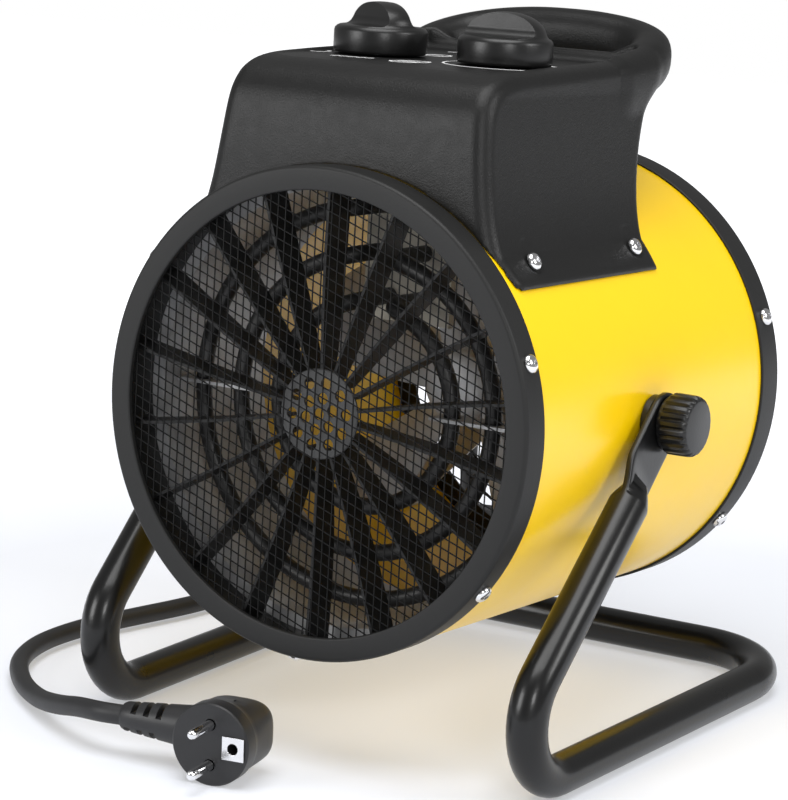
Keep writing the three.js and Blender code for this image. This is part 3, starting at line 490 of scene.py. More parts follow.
# ------------------------------------------------------------------ stand
# One length of 19 mm steel tube, bent at four corners, its two ends pressed flat and
# drilled for the clamps, and coated in semi gloss black.
TUBE_RADIUS = 9.5
FLAT_HALF = 14
FLAT_X = (117.1, 121.1)
FRONT_BEND = 29
REAR_BEND = 50
ARC_STEPS = 18
LEG_X = 122.6
STAND_FRONT = np.array((118, -163, TUBE_RADIUS))
STAND_REAR = np.array((124.5, 150, TUBE_RADIUS))
PIVOT_UP = np.array((LEG_X, 0, 159.0))

black_coat = Finish("stand_coating", Roughness=0.3, Coat_Weight=0.12, Coat_Roughness=0.1,
                    Specular_IOR_Level=0.35)
coat_cloud = black_coat.noise(30, 3)
black_coat.paint(coat_cloud, 0.003, 0.006)
black_coat.feed("Roughness", coat_cloud * 0.1 + 0.24)
black_coat.bump(black_coat.noise(520, 2), 0.00012, 0.25)


def bend(before, corner, after, radius, steps):
    """The arc, as points, that a bent tube follows in place of a sharp corner."""
    a = (before - corner) / np.linalg.norm(before - corner)
    b = (after - corner) / np.linalg.norm(after - corner)
    half_angle = math.acos(a.dot(b)) / 2
    centre = corner + (a + b) / np.linalg.norm(a + b) * radius / math.sin(half_angle)
    start = Vector(corner + a * radius / math.tan(half_angle) - centre)
    end = Vector(corner + b * radius / math.tan(half_angle) - centre)
    axis = start.cross(end).normalized()
    sweep = start.angle(end)
    return [np.array(Matrix.Rotation(sweep * i / steps, 3, axis) @ start) + centre for i in range(steps + 1)]


down = (STAND_FRONT - PIVOT_UP) / np.linalg.norm(STAND_FRONT - PIVOT_UP)
across_leg = np.cross((1, 0, 0), down)
flat_x = sum(FLAT_X) / 2
thin = (FLAT_X[1] - FLAT_X[0]) / 2
SIDES = 40
half_rings = []
for s in (-1, -0.99, -0.96, -0.9, -0.8, -0.65, -0.45, -0.2, 0, 0.6, 1.2, 1.8):
    c = PIVOT_UP + down * s * FLAT_HALF
    c[0] = flat_x
    wide = FLAT_HALF * math.sqrt(max(1 - min(s, 0) ** 2, 0.02))
    half_rings.append(oval(c, (1, 0, 0), across_leg, thin, wide, SIDES, 0.35))
for s in np.linspace(27, 49, 16):
    f = (s - 27) / 22
    g = f * f * (3 - 2 * f)
    c = PIVOT_UP + down * s
    c[0] = flat_x + (LEG_X - flat_x) * g + down[0] * s * g
    pressed = oval(c, (1, 0, 0), across_leg, thin, FLAT_HALF + (TUBE_RADIUS - FLAT_HALF) * g, SIDES, 0.35)
    grown = 1.5 + (TUBE_RADIUS - 1.5) * f ** 0.8
    ring = []
    for k, edge in enumerate(pressed):
        t = math.tau * (k + 0.5) / SIDES
        round_edge = c + grown * (math.cos(t) * np.array((1, 0, 0)) + math.sin(t) * across_leg)
        ring.append(max(edge, round_edge, key=lambda v: np.linalg.norm(v - c)))
    half_rings.append(ring)
rear_middle = np.array((0, STAND_REAR[1], TUBE_RADIUS))
front_arc = bend(PIVOT_UP, STAND_FRONT, STAND_REAR, FRONT_BEND, ARC_STEPS)
rear_arc = bend(STAND_FRONT, STAND_REAR, rear_middle, REAR_BEND, ARC_STEPS)
centres = front_arc + rear_arc
for i, c in enumerate(centres):
    before = centres[i - 1] if i else PIVOT_UP
    after = centres[i + 1] if i + 1 < len(centres) else rear_middle
    if i == 0:
        along = down
    elif i == len(centres) - 1:
        along = np.array((-1.0, 0, 0))
    else:
        along = (after - before) / np.linalg.norm(after - before)
    side = np.array((1.0, 0, 0)) if i <= ARC_STEPS else np.cross(along, (0, 0, 1))
    side = side - along * side.dot(along)
    side = side / np.linalg.norm(side)
    half_rings.append(oval(c, side, -np.cross(along, side), TUBE_RADIUS, TUBE_RADIUS, SIDES))
other_half = [[v * np.array((-1, 1, 1)) for v in ring] for ring in half_rings][::-1]
stand = merged(piece("stand_frame", skin(half_rings + other_half), black_coat, "stand", "stand_paint",
                     instead_of=("stand_tube",)))
drill = STAND @ Matrix.Translation((0, 0, 159 * MM)) @ Matrix.Rotation(math.pi / 2, 4, "Z")
carved(stand, [bore(4.2, -140, 140, drill)])

# ------------------------------------------------------------------ drum
# The drum is one sheet of steel rolled into a cylinder, seamed underneath and enamelled
# bright yellow inside and out.
DRUM_RADIUS = 112.6
DRUM_LENGTH = 254.8
enamel = Finish("yellow_enamel", Roughness=0.34, Coat_Weight=0.3, Coat_Roughness=0.2, Specular_IOR_Level=0.4)
enamel_cloud = enamel.noise(9, 4)
enamel.paint(enamel_cloud, (0.93, 0.58, 0.0), (0.98, 0.63, 0.001))
enamel.feed("Roughness", enamel.noise(70, 4) * 0.12 + 0.28)
enamel.bump(enamel.noise(380, 2), 0.0001, 0.3)
wall = [(DRUM_RADIUS - 1, 4.5), (DRUM_RADIUS - 0.5, 4.2), (DRUM_RADIUS, 4.5), (DRUM_RADIUS, 250.3),
        (DRUM_RADIUS - 0.5, 250.6), (DRUM_RADIUS - 1, 250.3)]
lathe("drum_wall", wall, 160, enamel, "drum", "yellow", DRUM, instead_of=("drum_shell",))

# ------------------------------------------------------------------ bezels
# A pressed steel ring closes each end of the drum: a flat face with rounded edges and a
# skirt over the drum, in matt dark grey powder coat.
RING_RADIUS = 114
OPENING_RADIUS = 102.8
grey_coat = Finish("bezel_coating", Roughness=0.5, Specular_IOR_Level=0.3)
grey_cloud = grey_coat.noise(26, 4)
grey_coat.paint(grey_cloud, (0.009, 0.009, 0.0088), (0.013, 0.013, 0.0127))
grey_coat.feed("Roughness", grey_cloud * 0.14 + 0.42)
grey_coat.bump(grey_coat.noise(700, 2), 0.00015, 0.4)


def bezel(face, skirt):
    """Profile of a ring whose face lies at depth face and whose skirt ends at depth skirt."""
    inward = 1 if skirt > face else -1
    points = [(OPENING_RADIUS, face + inward * 2.4), (OPENING_RADIUS, face + inward * 0.9)]
    for k in range(5):
        t = math.pi / 2 * k / 4
        points.append((OPENING_RADIUS + 0.9 - 0.9 * math.cos(t), face + inward * (0.9 - 0.9 * math.sin(t))))
    for k in range(7):
        t = math.pi / 2 * k / 6
        points.append((RING_RADIUS - 2 + 2 * math.sin(t), face + inward * (2 - 2 * math.cos(t))))
    points += [(RING_RADIUS, skirt - inward * 0.5), (RING_RADIUS - 0.5, skirt), (DRUM_RADIUS + 0.3, skirt),
               (DRUM_RADIUS + 0.3, face + inward * 2.4)]
    return points


for end, face, skirt in (("front", 0, 16), ("rear", DRUM_LENGTH, 236.5)):
    lathe(f"{end}_ring", bezel(face, skirt), 160, grey_coat, "drum", "bezel_paint", DRUM,
          instead_of=(f"{end}_bezel",))

# ------------------------------------------------------------------ screws
# Plated pan head screws with a hexagonal socket: five round each ring and two in each
# flank of the control cover.
HEAD = [(0, 0), (4.4, 0), (4.42, 0.5), (4.2, 1.3), (3.6, 2.0), (2.7, 2.5), (1.5, 2.8), (0, 2.9)]
RIM_ANGLES = (19, -37, -93, -149, 147)


def screw(name, placed, turn, node):
    made = lathe(name, HEAD, 32, plated, "drum", "chrome", placed, instead_of=(node,))
    return carved(made, [bore(1.45, 1.4, 4, placed @ Matrix.Rotation(turn, 4, "Y"), 6)])


def rim_place(angle, depth):
    return (DRUM @ Matrix.Rotation(-math.radians(angle), 4, "Y") @ Matrix.Translation(
        Vector((RING_RADIUS + 0.25, depth, 0)) * MM) @ Matrix.Rotation(-math.pi / 2, 4, "Z"))


for number, angle in enumerate(RIM_ANGLES, 1):
    for end, depth, turn in (("front", 8.6, 0.4), ("rear", DRUM_LENGTH - 9.4, 0.7)):
        screw(f"{end}_rim_screw_{number}", rim_place(angle, depth), turn * number, f"{end}_screw_{number}")

# ------------------------------------------------------------------ outlet net
# The outlet is closed by expanded wire: thin black strands, upright ones every 4.2 mm
# crossed by slanting ones, welded to a flat rim behind the front ring.
NET_DEPTH = 3.2
STRAND = 0.5
UPRIGHT_PITCH = 4.2
SLANT_PITCH = 4.7
SLANT = math.radians(-19.5)
NET_RADIUS = 104.5

black_wire = Finish("black_wire", Roughness=0.6, Specular_IOR_Level=0.15)
black_wire.paint(black_wire.noise(300), 0.003, 0.007)


def strand(direction, offset, depth, thick):
    """A thin square bar across the net's circle, offset mm from its middle."""
    reach = math.sqrt(NET_RADIUS ** 2 - offset ** 2)
    along = np.array((math.cos(direction), 0, math.sin(direction)))
    over = np.array((-math.sin(direction), 0, math.cos(direction)))
    ends = [along * -reach + over * offset, along * reach + over * offset]
    h = thick / 2
    corners = [(over * a + np.array((0, b, 0))) for a, b in ((-h, -h), (h, -h), (h, h), (-h, h))]
    return [[end + c + np.array((0, depth, 0)) for c in corners] for end in ends]


def joined(shapes):
    """Many shapes as one list of vertices and one of faces."""
    vertices, faces = [], []
    for more, sides in shapes:
        faces += [tuple(i + len(vertices) for i in side) for side in sides]
        vertices += more
    return vertices, faces


net = []
layers = ((math.pi / 2, UPRIGHT_PITCH, NET_DEPTH), (SLANT, SLANT_PITCH, NET_DEPTH + 0.25))
for direction, pitch, depth in layers:
    count = int(NET_RADIUS / pitch)
    net += [skin(strand(direction, k * pitch, depth, STRAND)) for k in range(-count, count + 1)]
piece("outlet_net", joined(net), black_wire, "drum", "black_steel", DRUM, instead_of=("front_mesh",))
rim = [(103.2, 2.75), (112.2, 2.75), (112.2, 3.9), (103.2, 3.9)]
lathe("net_rim", rim, 160, black_wire, "drum", "black_steel", DRUM)

# ------------------------------------------------------------------ vane guard
# Behind the net, eighteen deep strips of black steel stand on edge like spokes. They run
# from a pierced hub plate to a ring inside the drum, and keep fingers off the elements.
VANES = 18
VANE_DEPTH = (6.4, 24.5)
FIRST_VANE = 10
vane_steel = Finish("vane_steel", Metallic=0.3, Roughness=0.45)
vane_cloud = vane_steel.noise(60, 4)
vane_steel.paint(vane_cloud, 0.004, 0.010)
vane_steel.feed("Roughness", vane_cloud * 0.2 + 0.34)
lathe("guard_ring", [(109.2, 5), (110.8, 5), (110.8, 27.4), (109.2, 27.4)], 128, vane_steel, "drum",
      "black_steel", DRUM, instead_of=("vane_guard",))
for k in range(VANES):
    angle = FIRST_VANE + 360 / VANES * k
    turned_to = DRUM @ Matrix.Rotation(-math.radians(angle), 4, "Y")
    profile = []
    for s in np.linspace(0, 1, 9):
        x = 17 + 92 * s
        bow = 0.9 * math.sin(math.pi * s)
        front = VANE_DEPTH[0] + 1.5 * (1 - s)
        rear = VANE_DEPTH[1] - 6 * (1 - s) ** 3
        profile.append([(x, front, bow - 0.7), (x, front, bow + 0.7), (x, rear, bow + 0.7),
                        (x, rear, bow - 0.7)])
    piece(f"vane_{k + 1:02d}", skin(profile), vane_steel, "drum", "black_steel", turned_to)

hub_steel = Finish("hub_steel", Metallic=0.5, Roughness=0.42)
hub_steel.paint(hub_steel.noise(90, 4), 0.04, 0.08)
hub = lathe("hub_plate", [(0, 7.2), (20.5, 7.2), (21, 7.6), (21, 8.6), (0, 8.6)], 96, hub_steel, "drum",
            "black_steel", DRUM)
holes = []
for count, reach, phase in ((1, 0, 0), (6, 7.6, 0.3), (10, 14.8, 0.1)):
    for k in range(count):
        t = phase + math.tau * k / count
        spot = Matrix.Translation(Vector((reach * math.cos(t), 0, reach * math.sin(t))) * MM)
        holes.append(bore(2.8, 5, 11, DRUM @ spot, 16))
carved(hub, holes)

# ------------------------------------------------------------------ heat shield
# A sleeve of bright sheet, flanged at its front edge, keeps the heat off the drum. Two
# straps and a ceramic board on it carry the elements.
sheet_metal = Finish("bright_sheet", Metallic=0.35, Roughness=0.38)
sheet_cloud = sheet_metal.noise(24, 4)
sheet_metal.paint(sheet_cloud, (0.5, 0.5, 0.505), (0.64, 0.64, 0.645))
sheet_metal.feed("Roughness", sheet_cloud * 0.2 + 0.28)
shield = [(103, 28), (111, 28), (111.15, 28.4), (111, 28.8), (104.4, 28.8), (103.8, 29.4), (103.8, 112),
          (103, 112)]
lathe("shield_sleeve", shield, 128, sheet_metal, "drum", "shield", DRUM, instead_of=("heat_shield",))
ELEMENT_RADII = {"outer": 92, "middle": 70, "inner": 48}
ELEMENT_DEPTH = 46
ELEMENT_TUBE = 4
for side, flip in (("right", 0), ("left", math.pi)):
    strap_place = DRUM @ Matrix.Rotation(flip, 4, "Y")
    bar = piece(f"strap_{side}", solid_block(40, 102.4, ELEMENT_DEPTH - 8, ELEMENT_DEPTH + 8, -0.8, 0.8),
                sheet_metal, "drum", "shield", strap_place, instead_of=(f"element_strap_{side}",))
    carved(bar, [bore(4.9, -4, 4, strap_place @ Matrix.Translation(Vector((r, ELEMENT_DEPTH, 0)) * MM)
                      @ Matrix.Rotation(math.pi / 2, 4, "X")) for r in ELEMENT_RADII.values()])

# ------------------------------------------------------------------ heating elements
# Three sheathed elements, bent into open rings one inside another. Each end turns back
# into the terminal board at the top.
sheath = Finish("element_sheath", Metallic=0.75, Roughness=0.45)
scale_cloud = sheath.noise(45, 5)
sheath.paint(scale_cloud, 0.02, (0.09, 0.088, 0.086))
sheath.feed("Roughness", scale_cloud * 0.25 + 0.3)
sheath.bump(sheath.noise(600, 3), 0.0001, 0.4)
BEND_BACK = 9
for name, loop_radius in ELEMENT_RADII.items():
    foot = (9 + BEND_BACK) / loop_radius

    def on_loop(t):
        return np.array((loop_radius * math.sin(t), ELEMENT_DEPTH, loop_radius * math.cos(t)))

    def lead(t, way):
        tangent = np.array((math.cos(t), 0, -math.sin(t))) * way
        arc = [on_loop(t) - tangent * BEND_BACK * math.sin(q)
               + np.array((0, BEND_BACK * (1 - math.cos(q)), 0)) for q in (math.pi / 2, 1.2, 0.8, 0.4)]
        return [np.array((arc[0][0], 77.7, arc[0][2]))] + arc

    middle = [on_loop(foot + (math.tau - 2 * foot) * k / 90) for k in range(91)]
    line = lead(foot, 1) + middle + lead(math.tau - foot, -1)[::-1]
    piece(f"element_{name}", skin(tube(line, ELEMENT_TUBE, 16)), sheath, "drum", "sheath", DRUM,
          instead_of=(f"heating_element_{name}",))

ceramic = Finish("ceramic", Roughness=0.55)
ceramic.paint(ceramic.noise(120, 4), (0.48, 0.44, 0.36), (0.6, 0.56, 0.47))
plain_steel = Finish("plain_steel", Metallic=0.95, Roughness=0.32)
steel_cloud = plain_steel.noise(80, 4)
plain_steel.paint(steel_cloud, (0.42, 0.42, 0.43), (0.56, 0.56, 0.57))
plain_steel.feed("Roughness", steel_cloud * 0.2 + 0.24)
fan_sheet = Finish("fan_sheet", Metallic=0.25, Roughness=0.45)
fan_sheet.paint(fan_sheet.noise(30, 4), (0.5, 0.5, 0.505), (0.66, 0.66, 0.665))
KEPT = {
    "element_board": ceramic, "thermal_cutout": ceramic, "rotary_switch": ceramic, "terminal_block": ceramic,
    "thermostat_body": plain_steel, "thermostat_bulb": plain_steel, "motor_shaft": plain_steel,
    "mode_spindle": plain_steel, "thermostat_spindle": plain_steel, "clamp_stud_right": plain_steel,
    "clamp_stud_left": plain_steel, "motor_bracket": sheet_metal,
}
for node, finish in KEPT.items():
    keep(node, finish)

# ------------------------------------------------------------------ fan and motor
# Five broad pressed blades on a spun hub, driven by a closed motor behind them.
BLADES = 5
FAN_MIDDLE = 138
fan_cup = [(3.3, 124), (5, 124), (10, 124.6), (14, 126), (17, 128), (18, 130), (18, 150), (16.8, 150),
           (16.8, 148), (3.3, 148)]
lathe("fan_hub", fan_cup, 64, fan_sheet, "fan", "fan_metal", DRUM, instead_of=("fan_blades",))
for k in range(BLADES):
    rows = []
    for s in np.linspace(0, 1, 12):
        r = 15 + 71 * s
        chord = 12 + 13 * math.sin(min(s * 1.25, 1) * math.pi / 2)
        if s > 0.85:
            chord *= math.sqrt(max(1 - ((s - 0.85) / 0.17) ** 2, 0.05))
        pitch = math.radians(50 - 27 * s ** 0.8)
        along = np.array((math.cos(pitch), math.sin(pitch), 0))
        face = np.array((-math.sin(pitch), math.cos(pitch), 0))
        ring = []
        for u, v in [(-1 + 0.25 * j, -0.5) for j in range(9)] + [(1 - 0.25 * j, 0.5) for j in range(9)]:
            camber = -0.13 * chord * (1 - u * u)
            ring.append(np.array((9 * s, FAN_MIDDLE, r)) + along * u * chord + face * (camber + v))
        rows.append(ring)
    piece(f"fan_blade_{k + 1}", skin(rows), fan_sheet, "fan", "fan_metal",
          DRUM @ Matrix.Rotation(math.tau * k / BLADES, 4, "Y"))
can = [(3.1, 199), (3.1, 156), (8, 156), (8, 161), (22, 161.6), (26, 162), (29.5, 163.4), (31, 166), (31, 184),
       (30.4, 184.4), (30.4, 189.6), (31, 190), (31, 209), (30.4, 211), (29, 212), (0.1, 212), (0.1, 199)]
lathe("motor_casing", can, 64, plain_steel, "drum", "steel", DRUM, instead_of=("motor_can",))

# ------------------------------------------------------------------ rear grille
# The inlet guard: round wires bent into rings and welded to ten spokes, between a flat rim
# behind the rear ring and a small closed plate in the middle.
WIRE_RINGS = (31, 41, 51.5, 62, 72.5, 83, 93)
RING_WIRE = 0.75
SPOKE_WIRE = 0.9
SPOKES = 10
lathe("inlet_rim", [(101, 250.8), (112.2, 250.8), (112.2, 252.1), (101, 252.1)], 128, vane_steel, "drum",
      "black_steel", DRUM, instead_of=("rear_grille",))
lathe("inlet_plate", [(0, 250.8), (21, 250.8), (22, 251.3), (21.6, 252.1), (0, 252.1)], 64, vane_steel, "drum",
      "black_steel", DRUM)
wires = []
for r in WIRE_RINGS:
    loop = [(r * math.cos(math.tau * k / 96), 251.7, r * math.sin(math.tau * k / 96)) for k in range(97)]
    wires.append(skin(tube(loop, RING_WIRE, 8)[:-1], closed=True))
for k in range(SPOKES):
    t = math.tau * k / SPOKES
    spoke = [(r * math.cos(t), 250.6, r * math.sin(t)) for r in (20, 60, 102.5)]
    wires.append(skin(tube(spoke, SPOKE_WIRE, 8)))
piece("inlet_wires", joined(wires), vane_steel, "drum", "black_steel", DRUM)

# ------------------------------------------------------------------ control cover
# One thick moulding in grained black plastic that carries the controls and the handle. Its
# form is worked out as distances to its outlines, so walls, rims and handle flow together,
# and is then skinned; it is screwed to the drum through sunk seats in its flanks.
ROOF_Z = 159.6
COVER_Z = 63
SKIRT_RADIUS = 115.2
WALL_THICKNESS = 2.6
VOXEL = 0.9
KNOB_X = 34.5
KNOB_DEPTH = 96.8
SEAT_Z = 77
SEAT_SLANT = math.radians(29)
SEAT_DEPTHS = (44.5, 141)
GRIP_WIDE = 10.6
GRIP_HIGH = 12.6
SQUARENESS = 2.4

moulded = Finish("grained_black_plastic", Roughness=0.42, Specular_IOR_Level=0.3)
mould_cloud = moulded.noise(22, 4)
moulded.paint(mould_cloud, (0.004, 0.004, 0.0039), (0.007, 0.007, 0.0068))
moulded.feed("Roughness", moulded.noise(160, 4) * 0.14 + 0.36)
moulded.bump(moulded.noise(1300, 2) + moulded.noise(500, 2) * 0.5, 0.00022, 0.55)


def flank_x(z):
    """Half the cover's width at a height: a leaning flank that flares out along the drum."""
    leaning = 70 + 0.075 * (ROOF_Z - z) + 15 * math.exp(-(z - 66) / 18)
    return max(leaning, math.sqrt(max(SKIRT_RADIUS ** 2 - z * z, 0)))


def front_outline(inset):
    corner = 11
    half_line = [(flank_x(z) - inset, z) for z in [COVER_Z - 2 * inset] + list(range(62, 150, 3))]
    peak = ROOF_Z + (-inset if inset else 9)
    for k in range(9):
        t = math.pi / 2 * k / 8
        half_line.append((flank_x(150) - inset - corner + corner * math.cos(t),
                          peak - corner + corner * math.sin(t)))
    return half_line + [(-x, z) for x, z in reversed(half_line)]


def side_outline(inset):
    low = COVER_Z - 2 * inset
    face = [(25 + inset, low), (19.4 + inset, 67), (17 + inset, 78), (17.4 + inset, 102), (18.6 + inset, 122),
            (21 + inset, 140)]
    rims = [(23.6, 147), (28.5, 153), (36, 157), (48, 159.6), (75, 161.2), (108, 162.4), (150, 164.6),
            (184, 167)]
    if inset:
        rims = [(32, 146), (46, ROOF_Z - inset), (180, ROOF_Z - inset)]
    rear = [(184 - inset, 152), (177 - inset, 141), (169.5 - inset, 123), (164.5 - inset, 103),
            (161 - inset, 84), (157.5 - inset, low)]
    return face + rims + rear


def polygon_distance(points, u, v):
    """Signed distance to a closed polygon over a grid, negative inside it."""
    u, v = np.meshgrid(u, v, indexing="ij")
    least = np.full(u.shape, 1e9)
    inside = np.zeros(u.shape, bool)
    for (ax, ay), (bx, by) in zip(points, points[1:] + points[:1]):
        ex, ey = bx - ax, by - ay
        t = np.clip(((u - ax) * ex + (v - ay) * ey) / (ex * ex + ey * ey), 0, 1)
        least = np.minimum(least, np.hypot(u - ax - t * ex, v - ay - t * ey))
        if ey:
            inside ^= ((ay > v) != (by > v)) & (u < ax + (v - ay) / ey * ex)
    return np.where(inside, -least, least)


def both(a, b, r):
    """Intersection of two distance fields, its edge rounded to radius r."""
    return np.minimum(-r, np.maximum(a, b)) + np.hypot(np.maximum(a + r, 0), np.maximum(b + r, 0))


def either(a, b, r):
    """Union of two distance fields, its inner corner filled to radius r."""
    return np.maximum(r, np.minimum(a, b)) - np.hypot(np.maximum(r - a, 0), np.maximum(r - b, 0))


def rounded(points, step):
    """A closed outline with its corners eased by a spline through it."""
    return [tuple(p[:2]) for p in curve_through([(u, v, 0) for u, v in points], step)]


grid_x = np.arange(0, 97, VOXEL)
grid_y = np.arange(13, 232, VOXEL)
grid_z = np.arange(54, 188, VOXEL)
x, y, z = grid_x[:, None, None], grid_y[None, :, None], grid_z[None, None, :]
field = both(polygon_distance(front_outline(0), grid_x, grid_z)[:, None, :],
             polygon_distance(rounded(side_outline(0), 2.0), grid_y, grid_z)[None], 8.0)
hollow = both(polygon_distance(front_outline(WALL_THICKNESS), grid_x, grid_z)[:, None, :],
              polygon_distance(side_outline(WALL_THICKNESS), grid_y, grid_z)[None], 6.0)
field = np.maximum(field, -hollow)

grip = [(60, 158, 152.6), (60, 176, 155.9), (59.2, 192, 160.5), (53, 206, 164.6), (40, 214, 168),
        (20, 217, 170.4), (0, 217.5, 171)]
grip_line = np.array(curve_through(grip + [(-a, b, c) for a, b, c in reversed(grip[:-1])], 2.0))
grip_line = grip_line[grip_line[:, 0] > -8]
handle = np.full(field.shape, 60.0)
near_y = grid_y > 146
for p, q in zip(grip_line, grip_line[1:]):
    along = (q - p) / np.linalg.norm(q - p)
    side = np.cross(along, (0, 0, 1))
    side = side / np.linalg.norm(side)
    above = np.cross(side, along)
    dx, dy, dz = x - p[0], grid_y[near_y][None, :, None] - p[1], z - p[2]
    run_along = dx * along[0] + dy * along[1] + dz * along[2]
    u = np.abs(dx * side[0] + dy * side[1] + dz * side[2]) / GRIP_WIDE
    v = np.abs(dx * above[0] + dy * above[1] + dz * above[2]) / GRIP_HIGH
    bar = ((u ** SQUARENESS + v ** SQUARENESS) ** (1 / SQUARENESS) - 1) * GRIP_WIDE
    off_end = np.maximum(np.abs(run_along) - 1.6, 0)
    capped = np.where(off_end > 0, np.hypot(np.maximum(bar, 0), off_end * 0.5), bar)
    handle[:, near_y] = np.minimum(handle[:, near_y], capped)
field = either(field, handle, 7.0)

recess = both(both(both(x - 61.5, 45 - y, 10.0), ROOF_Z - z, 0.8), y - 181, 5.0)
field = both(field, -recess, 1.6)
field = np.maximum(field, 113 - np.hypot(x, z))
for seat_y in SEAT_DEPTHS:
    out_x = (x - flank_x(SEAT_Z)) * math.cos(SEAT_SLANT) + (z - SEAT_Z) * math.sin(SEAT_SLANT)
    up_x = (z - SEAT_Z) * math.cos(SEAT_SLANT) - (x - flank_x(SEAT_Z)) * math.sin(SEAT_SLANT)
    pocket = np.maximum(np.hypot(up_x, y - seat_y) - 5.8, 0.3 - out_x)
    field = both(field, -pocket, 0.7)
    run_in = np.maximum(np.hypot(up_x - np.clip(up_x, 2, 7), y - seat_y) - 4.2, -0.1 - out_x)
    field = both(field, -run_in, 0.7)
field = np.maximum(field, 4.6 - np.hypot(x - KNOB_X, y - KNOB_DEPTH) + 0 * z)
field = np.concatenate([field[:0:-1], field])
grid_x = np.concatenate([-grid_x[:0:-1], grid_x])
x = grid_x[:, None, None]
field = np.maximum(field, np.where(y > 140, 8 - np.hypot(x + 40, z - 118), -50.0))

volume = openvdb.FloatGrid(background=6.0)
volume.copyFromArray(np.clip(field, -6, 6).astype(np.float32))
points, quads = volume.convertToQuads(isovalue=0.0)
points = points * VOXEL + np.array((grid_x[0], grid_y[0], grid_z[0]))
piece("cover_moulding", (points.tolist(), quads.tolist()), moulded, "drum", "cover_plastic", DRUM, smooth=50,
      instead_of=("control_cover",))

# ------------------------------------------------------------------ dial marks
# Printed on the panel in white: a swelling line round the thermostat knob, and signs for
# the fan and the two heats round the switch knob.
print_white = Finish("dial_print", Roughness=0.6)
print_white.paint(print_white.noise(400), 0.7, 0.82)
PRINT_Z = ROOF_Z + 0.12


def printed(name, line, width):
    """A flat line of print through points on the panel; width in mm, or one for each point."""
    line = [np.array(p, float) for p in line]
    widths = width if isinstance(width, (list, tuple)) else [width] * len(line)
    rings = []
    for i, (p, w) in enumerate(zip(line, widths)):
        along = line[min(i + 1, len(line) - 1)] - line[max(i - 1, 0)]
        along = along / np.linalg.norm(along)
        over = np.array((-along[1], along[0])) * w / 2
        rings.append([(*(p - over), PRINT_Z), (*(p + over), PRINT_Z), (*(p + over), PRINT_Z + 0.12),
                      (*(p - over), PRINT_Z + 0.12)])
    return piece(name, skin(rings), print_white, "drum", "cover_plastic", DRUM)


def round_mark(middle, reach_x, reach_y, start, end, steps=40, slant=0.0):
    line = []
    for k in range(steps + 1):
        t = math.radians(start + (end - start) * k / steps)
        a, b = reach_x * math.cos(t), reach_y * math.sin(t)
        line.append((middle[0] + a * math.cos(slant) - b * math.sin(slant),
                     middle[1] + a * math.sin(slant) + b * math.cos(slant)))
    return line


printed("scale_line", round_mark((KNOB_X, KNOB_DEPTH), 28.6, 28.6, 160, 455, 90),
        [0.8 + 1.7 * k / 90 for k in range(91)])
printed("scale_start", [(KNOB_X - 30.5, KNOB_DEPTH + 9.8), (KNOB_X - 25.6, KNOB_DEPTH + 9.2)], 0.8)
printed("fan_sign", round_mark((-61, 84), 5.2, 7.0, 60, 400), 1.5)
for k in range(5):
    printed(f"heat_dash_{k + 1}", [(-38 + 4.2 * k, 59.5 + 0.9 * k), (-35.8 + 4.2 * k, 63.6 + 0.9 * k)], 1.6)
printed("full_heat_ring", round_mark((1.2, 67), 6.6, 10.4, 0, 360, 48, -0.4), 1.4)
zigzag = [(1.2 + 1.35 * (k - 3), 67 + (4.2 if k % 2 else -4.2)) for k in range(7)]
printed("full_heat_zigzag", zigzag, 1.2)
printed("half_heat_ring", round_mark((-21, 128), 6.0, 7.4, 0, 360, 48), 1.4)
printed("half_heat_dash", [(-24, 128), (-18, 128)], 1.2)
printed("frost_mark", [(-36, 162), (-31, 168)], 1.4)

# ------------------------------------------------------------------ control knobs
# Two satin black knobs, each a low drum with a finger bar that is left between two hollows
# in a dome.
satin = Finish("knob_plastic", Roughness=0.34, Specular_IOR_Level=0.45)
satin_cloud = satin.noise(80, 4)
satin.paint(satin_cloud, 0.004, 0.007)
satin.feed("Roughness", satin_cloud * 0.12 + 0.28)
satin.bump(satin.noise(900, 2), 0.0001, 0.3)
KNOB_FLOOR = ROOF_Z + 1


def control_knob(name, side, body, turn, node):
    at = (DRUM @ Matrix.Translation(Vector((side * KNOB_X, KNOB_DEPTH, KNOB_FLOOR)) * MM)
          @ Matrix.Rotation(turn, 4, "Z") @ Matrix.Rotation(math.pi / 2, 4, "X"))
    shape = [(3.4, 0), (21.6, 0), (22.2, 0.5), (22.5, 1.3), (22.45, 10.2), (22.1, 11.4), (21.2, 12.3),
             (20, 12.9)]
    for k in range(1, 15):
        t = math.pi / 2 * k / 14
        shape.append((19.4 * math.cos(t) ** 0.92 if k < 14 else 0, 12.9 + 11.5 * math.sin(t)))
    shape += [(0, 9), (3.4, 9)]
    made = lathe(name, shape, 96, satin, body, "knob_plastic", at, instead_of=(node,))
    hollows = []
    for way in (1, -1):
        edge = [(4.6, 40), (4.9, 26), (5.4, 20)]
        for k in range(15):
            t = math.pi / 2 * k / 14
            edge.append((10.2 - 4.6 * math.cos(t), 17.6 - 4.6 * math.sin(t)))
        edge += [(40, 12.4), (40, 40)]
        ends = [[(end, up, way * out) for out, up in edge] for end in (-40, 40)]
        hollows.append(tool(skin(ends), at))
    carved(made, hollows)
    return softened(made, 0.5, 3, 45)


control_knob("switch_knob", -1, "mode_control", math.radians(-28), "mode_knob")
control_knob("heat_knob", 1, "thermostat_control", math.radians(4), "thermostat_knob")

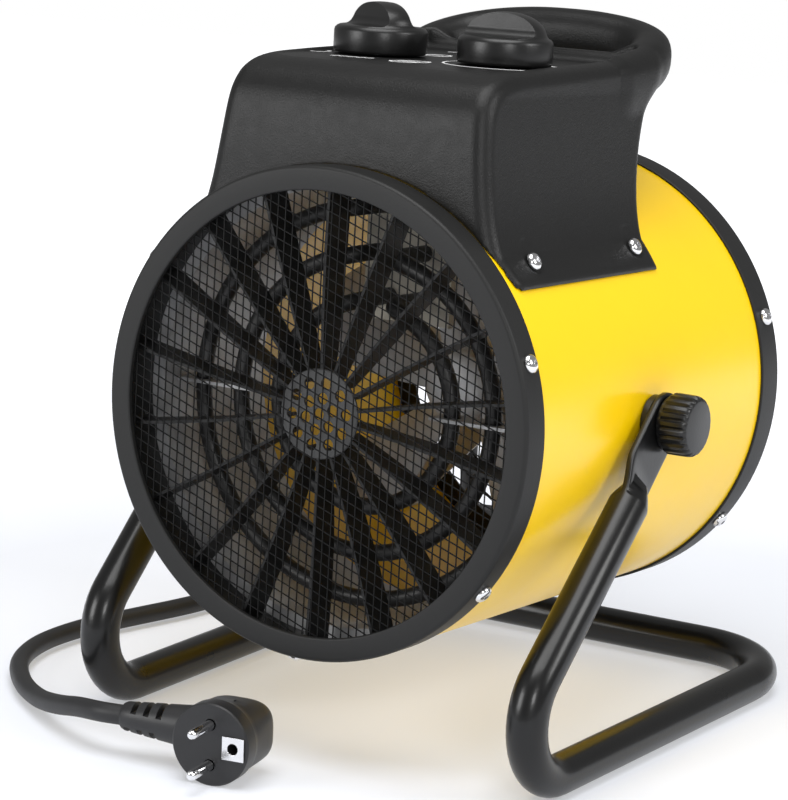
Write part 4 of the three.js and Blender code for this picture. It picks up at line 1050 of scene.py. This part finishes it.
# ------------------------------------------------------------------ cover screws
# The four screws of the cover sit on the sunk seats, their heads square to the slope.
places = [(side, seat_y) for side in (1, -1) for seat_y in SEAT_DEPTHS]
for number, (side, seat_y) in enumerate(places, 1):
    axis = Vector((side * math.cos(SEAT_SLANT), 0, math.sin(SEAT_SLANT)))
    seat = Vector((side * flank_x(SEAT_Z), seat_y, SEAT_Z)) + axis * 0.6
    stand_up = Vector((0, 1, 0)).rotation_difference(axis).to_matrix().to_4x4()
    screw(f"flank_screw_{number}", DRUM @ Matrix.Translation(seat * MM) @ stand_up, 0.5 * number,
          f"cover_screw_{number}")

# ------------------------------------------------------------------ clamps
# Each end of the stand is squeezed between a round boss on the drum and a fluted knob with
# a smooth face, both moulded in black.
BOSS_X = (113, 116.8)
CLAMP_X = 121.4
CLAMP_RADIUS = 14.6
FLUTES = 22
WHEEL_FORM = [(0, 2.2, 0), (0.8, 1.6, 0), (2.2, 1.4, 0.2), (2.6, 0.35, 1), (3.2, 0, 1), (8.0, 0.05, 1),
              (13.0, 0.15, 1), (14.4, 0.5, 0.9), (15.3, 1.1, 0.5), (15.9, 1.9, 0.12), (16.1, 2.8, 0)]
for side, name in ((1, "right"), (-1, "left")):
    outward = (DRUM @ Matrix.Translation((0, FACE_TO_PIVOT * MM, 0))
               @ Matrix.Rotation(-side * math.pi / 2, 4, "Z"))
    boss = [(4.1, BOSS_X[0]), (12.0, BOSS_X[0]), (12.3, BOSS_X[0] + 0.4), (12.3, BOSS_X[1] - 0.5),
            (11.8, BOSS_X[1]), (4.1, BOSS_X[1])]
    lathe(f"boss_{name}", boss, 64, satin, "drum", "knob_plastic", outward, instead_of=(f"pivot_boss_{name}",))
    rings = []
    for depth, shrink, flute in WHEEL_FORM:
        ring = []
        for k in range(FLUTES * 10):
            t = math.tau * k / (FLUTES * 10)
            wave = math.cos(FLUTES * t)
            groove = 1.25 * max(0.0, wave - 0.1) ** 0.6 * flute
            r = CLAMP_RADIUS - shrink - groove
            ring.append((r * math.cos(t), CLAMP_X + depth, r * math.sin(t)))
        rings.append(ring)
    wheel = piece(f"clamp_wheel_{name}", skin(rings), satin, f"clamp_{name}", "knob_plastic", outward,
                  smooth=50, instead_of=(f"clamp_knob_{name}",))
    carved(wheel, [bore(4.3, CLAMP_X - 1, CLAMP_X + 7, outward)])
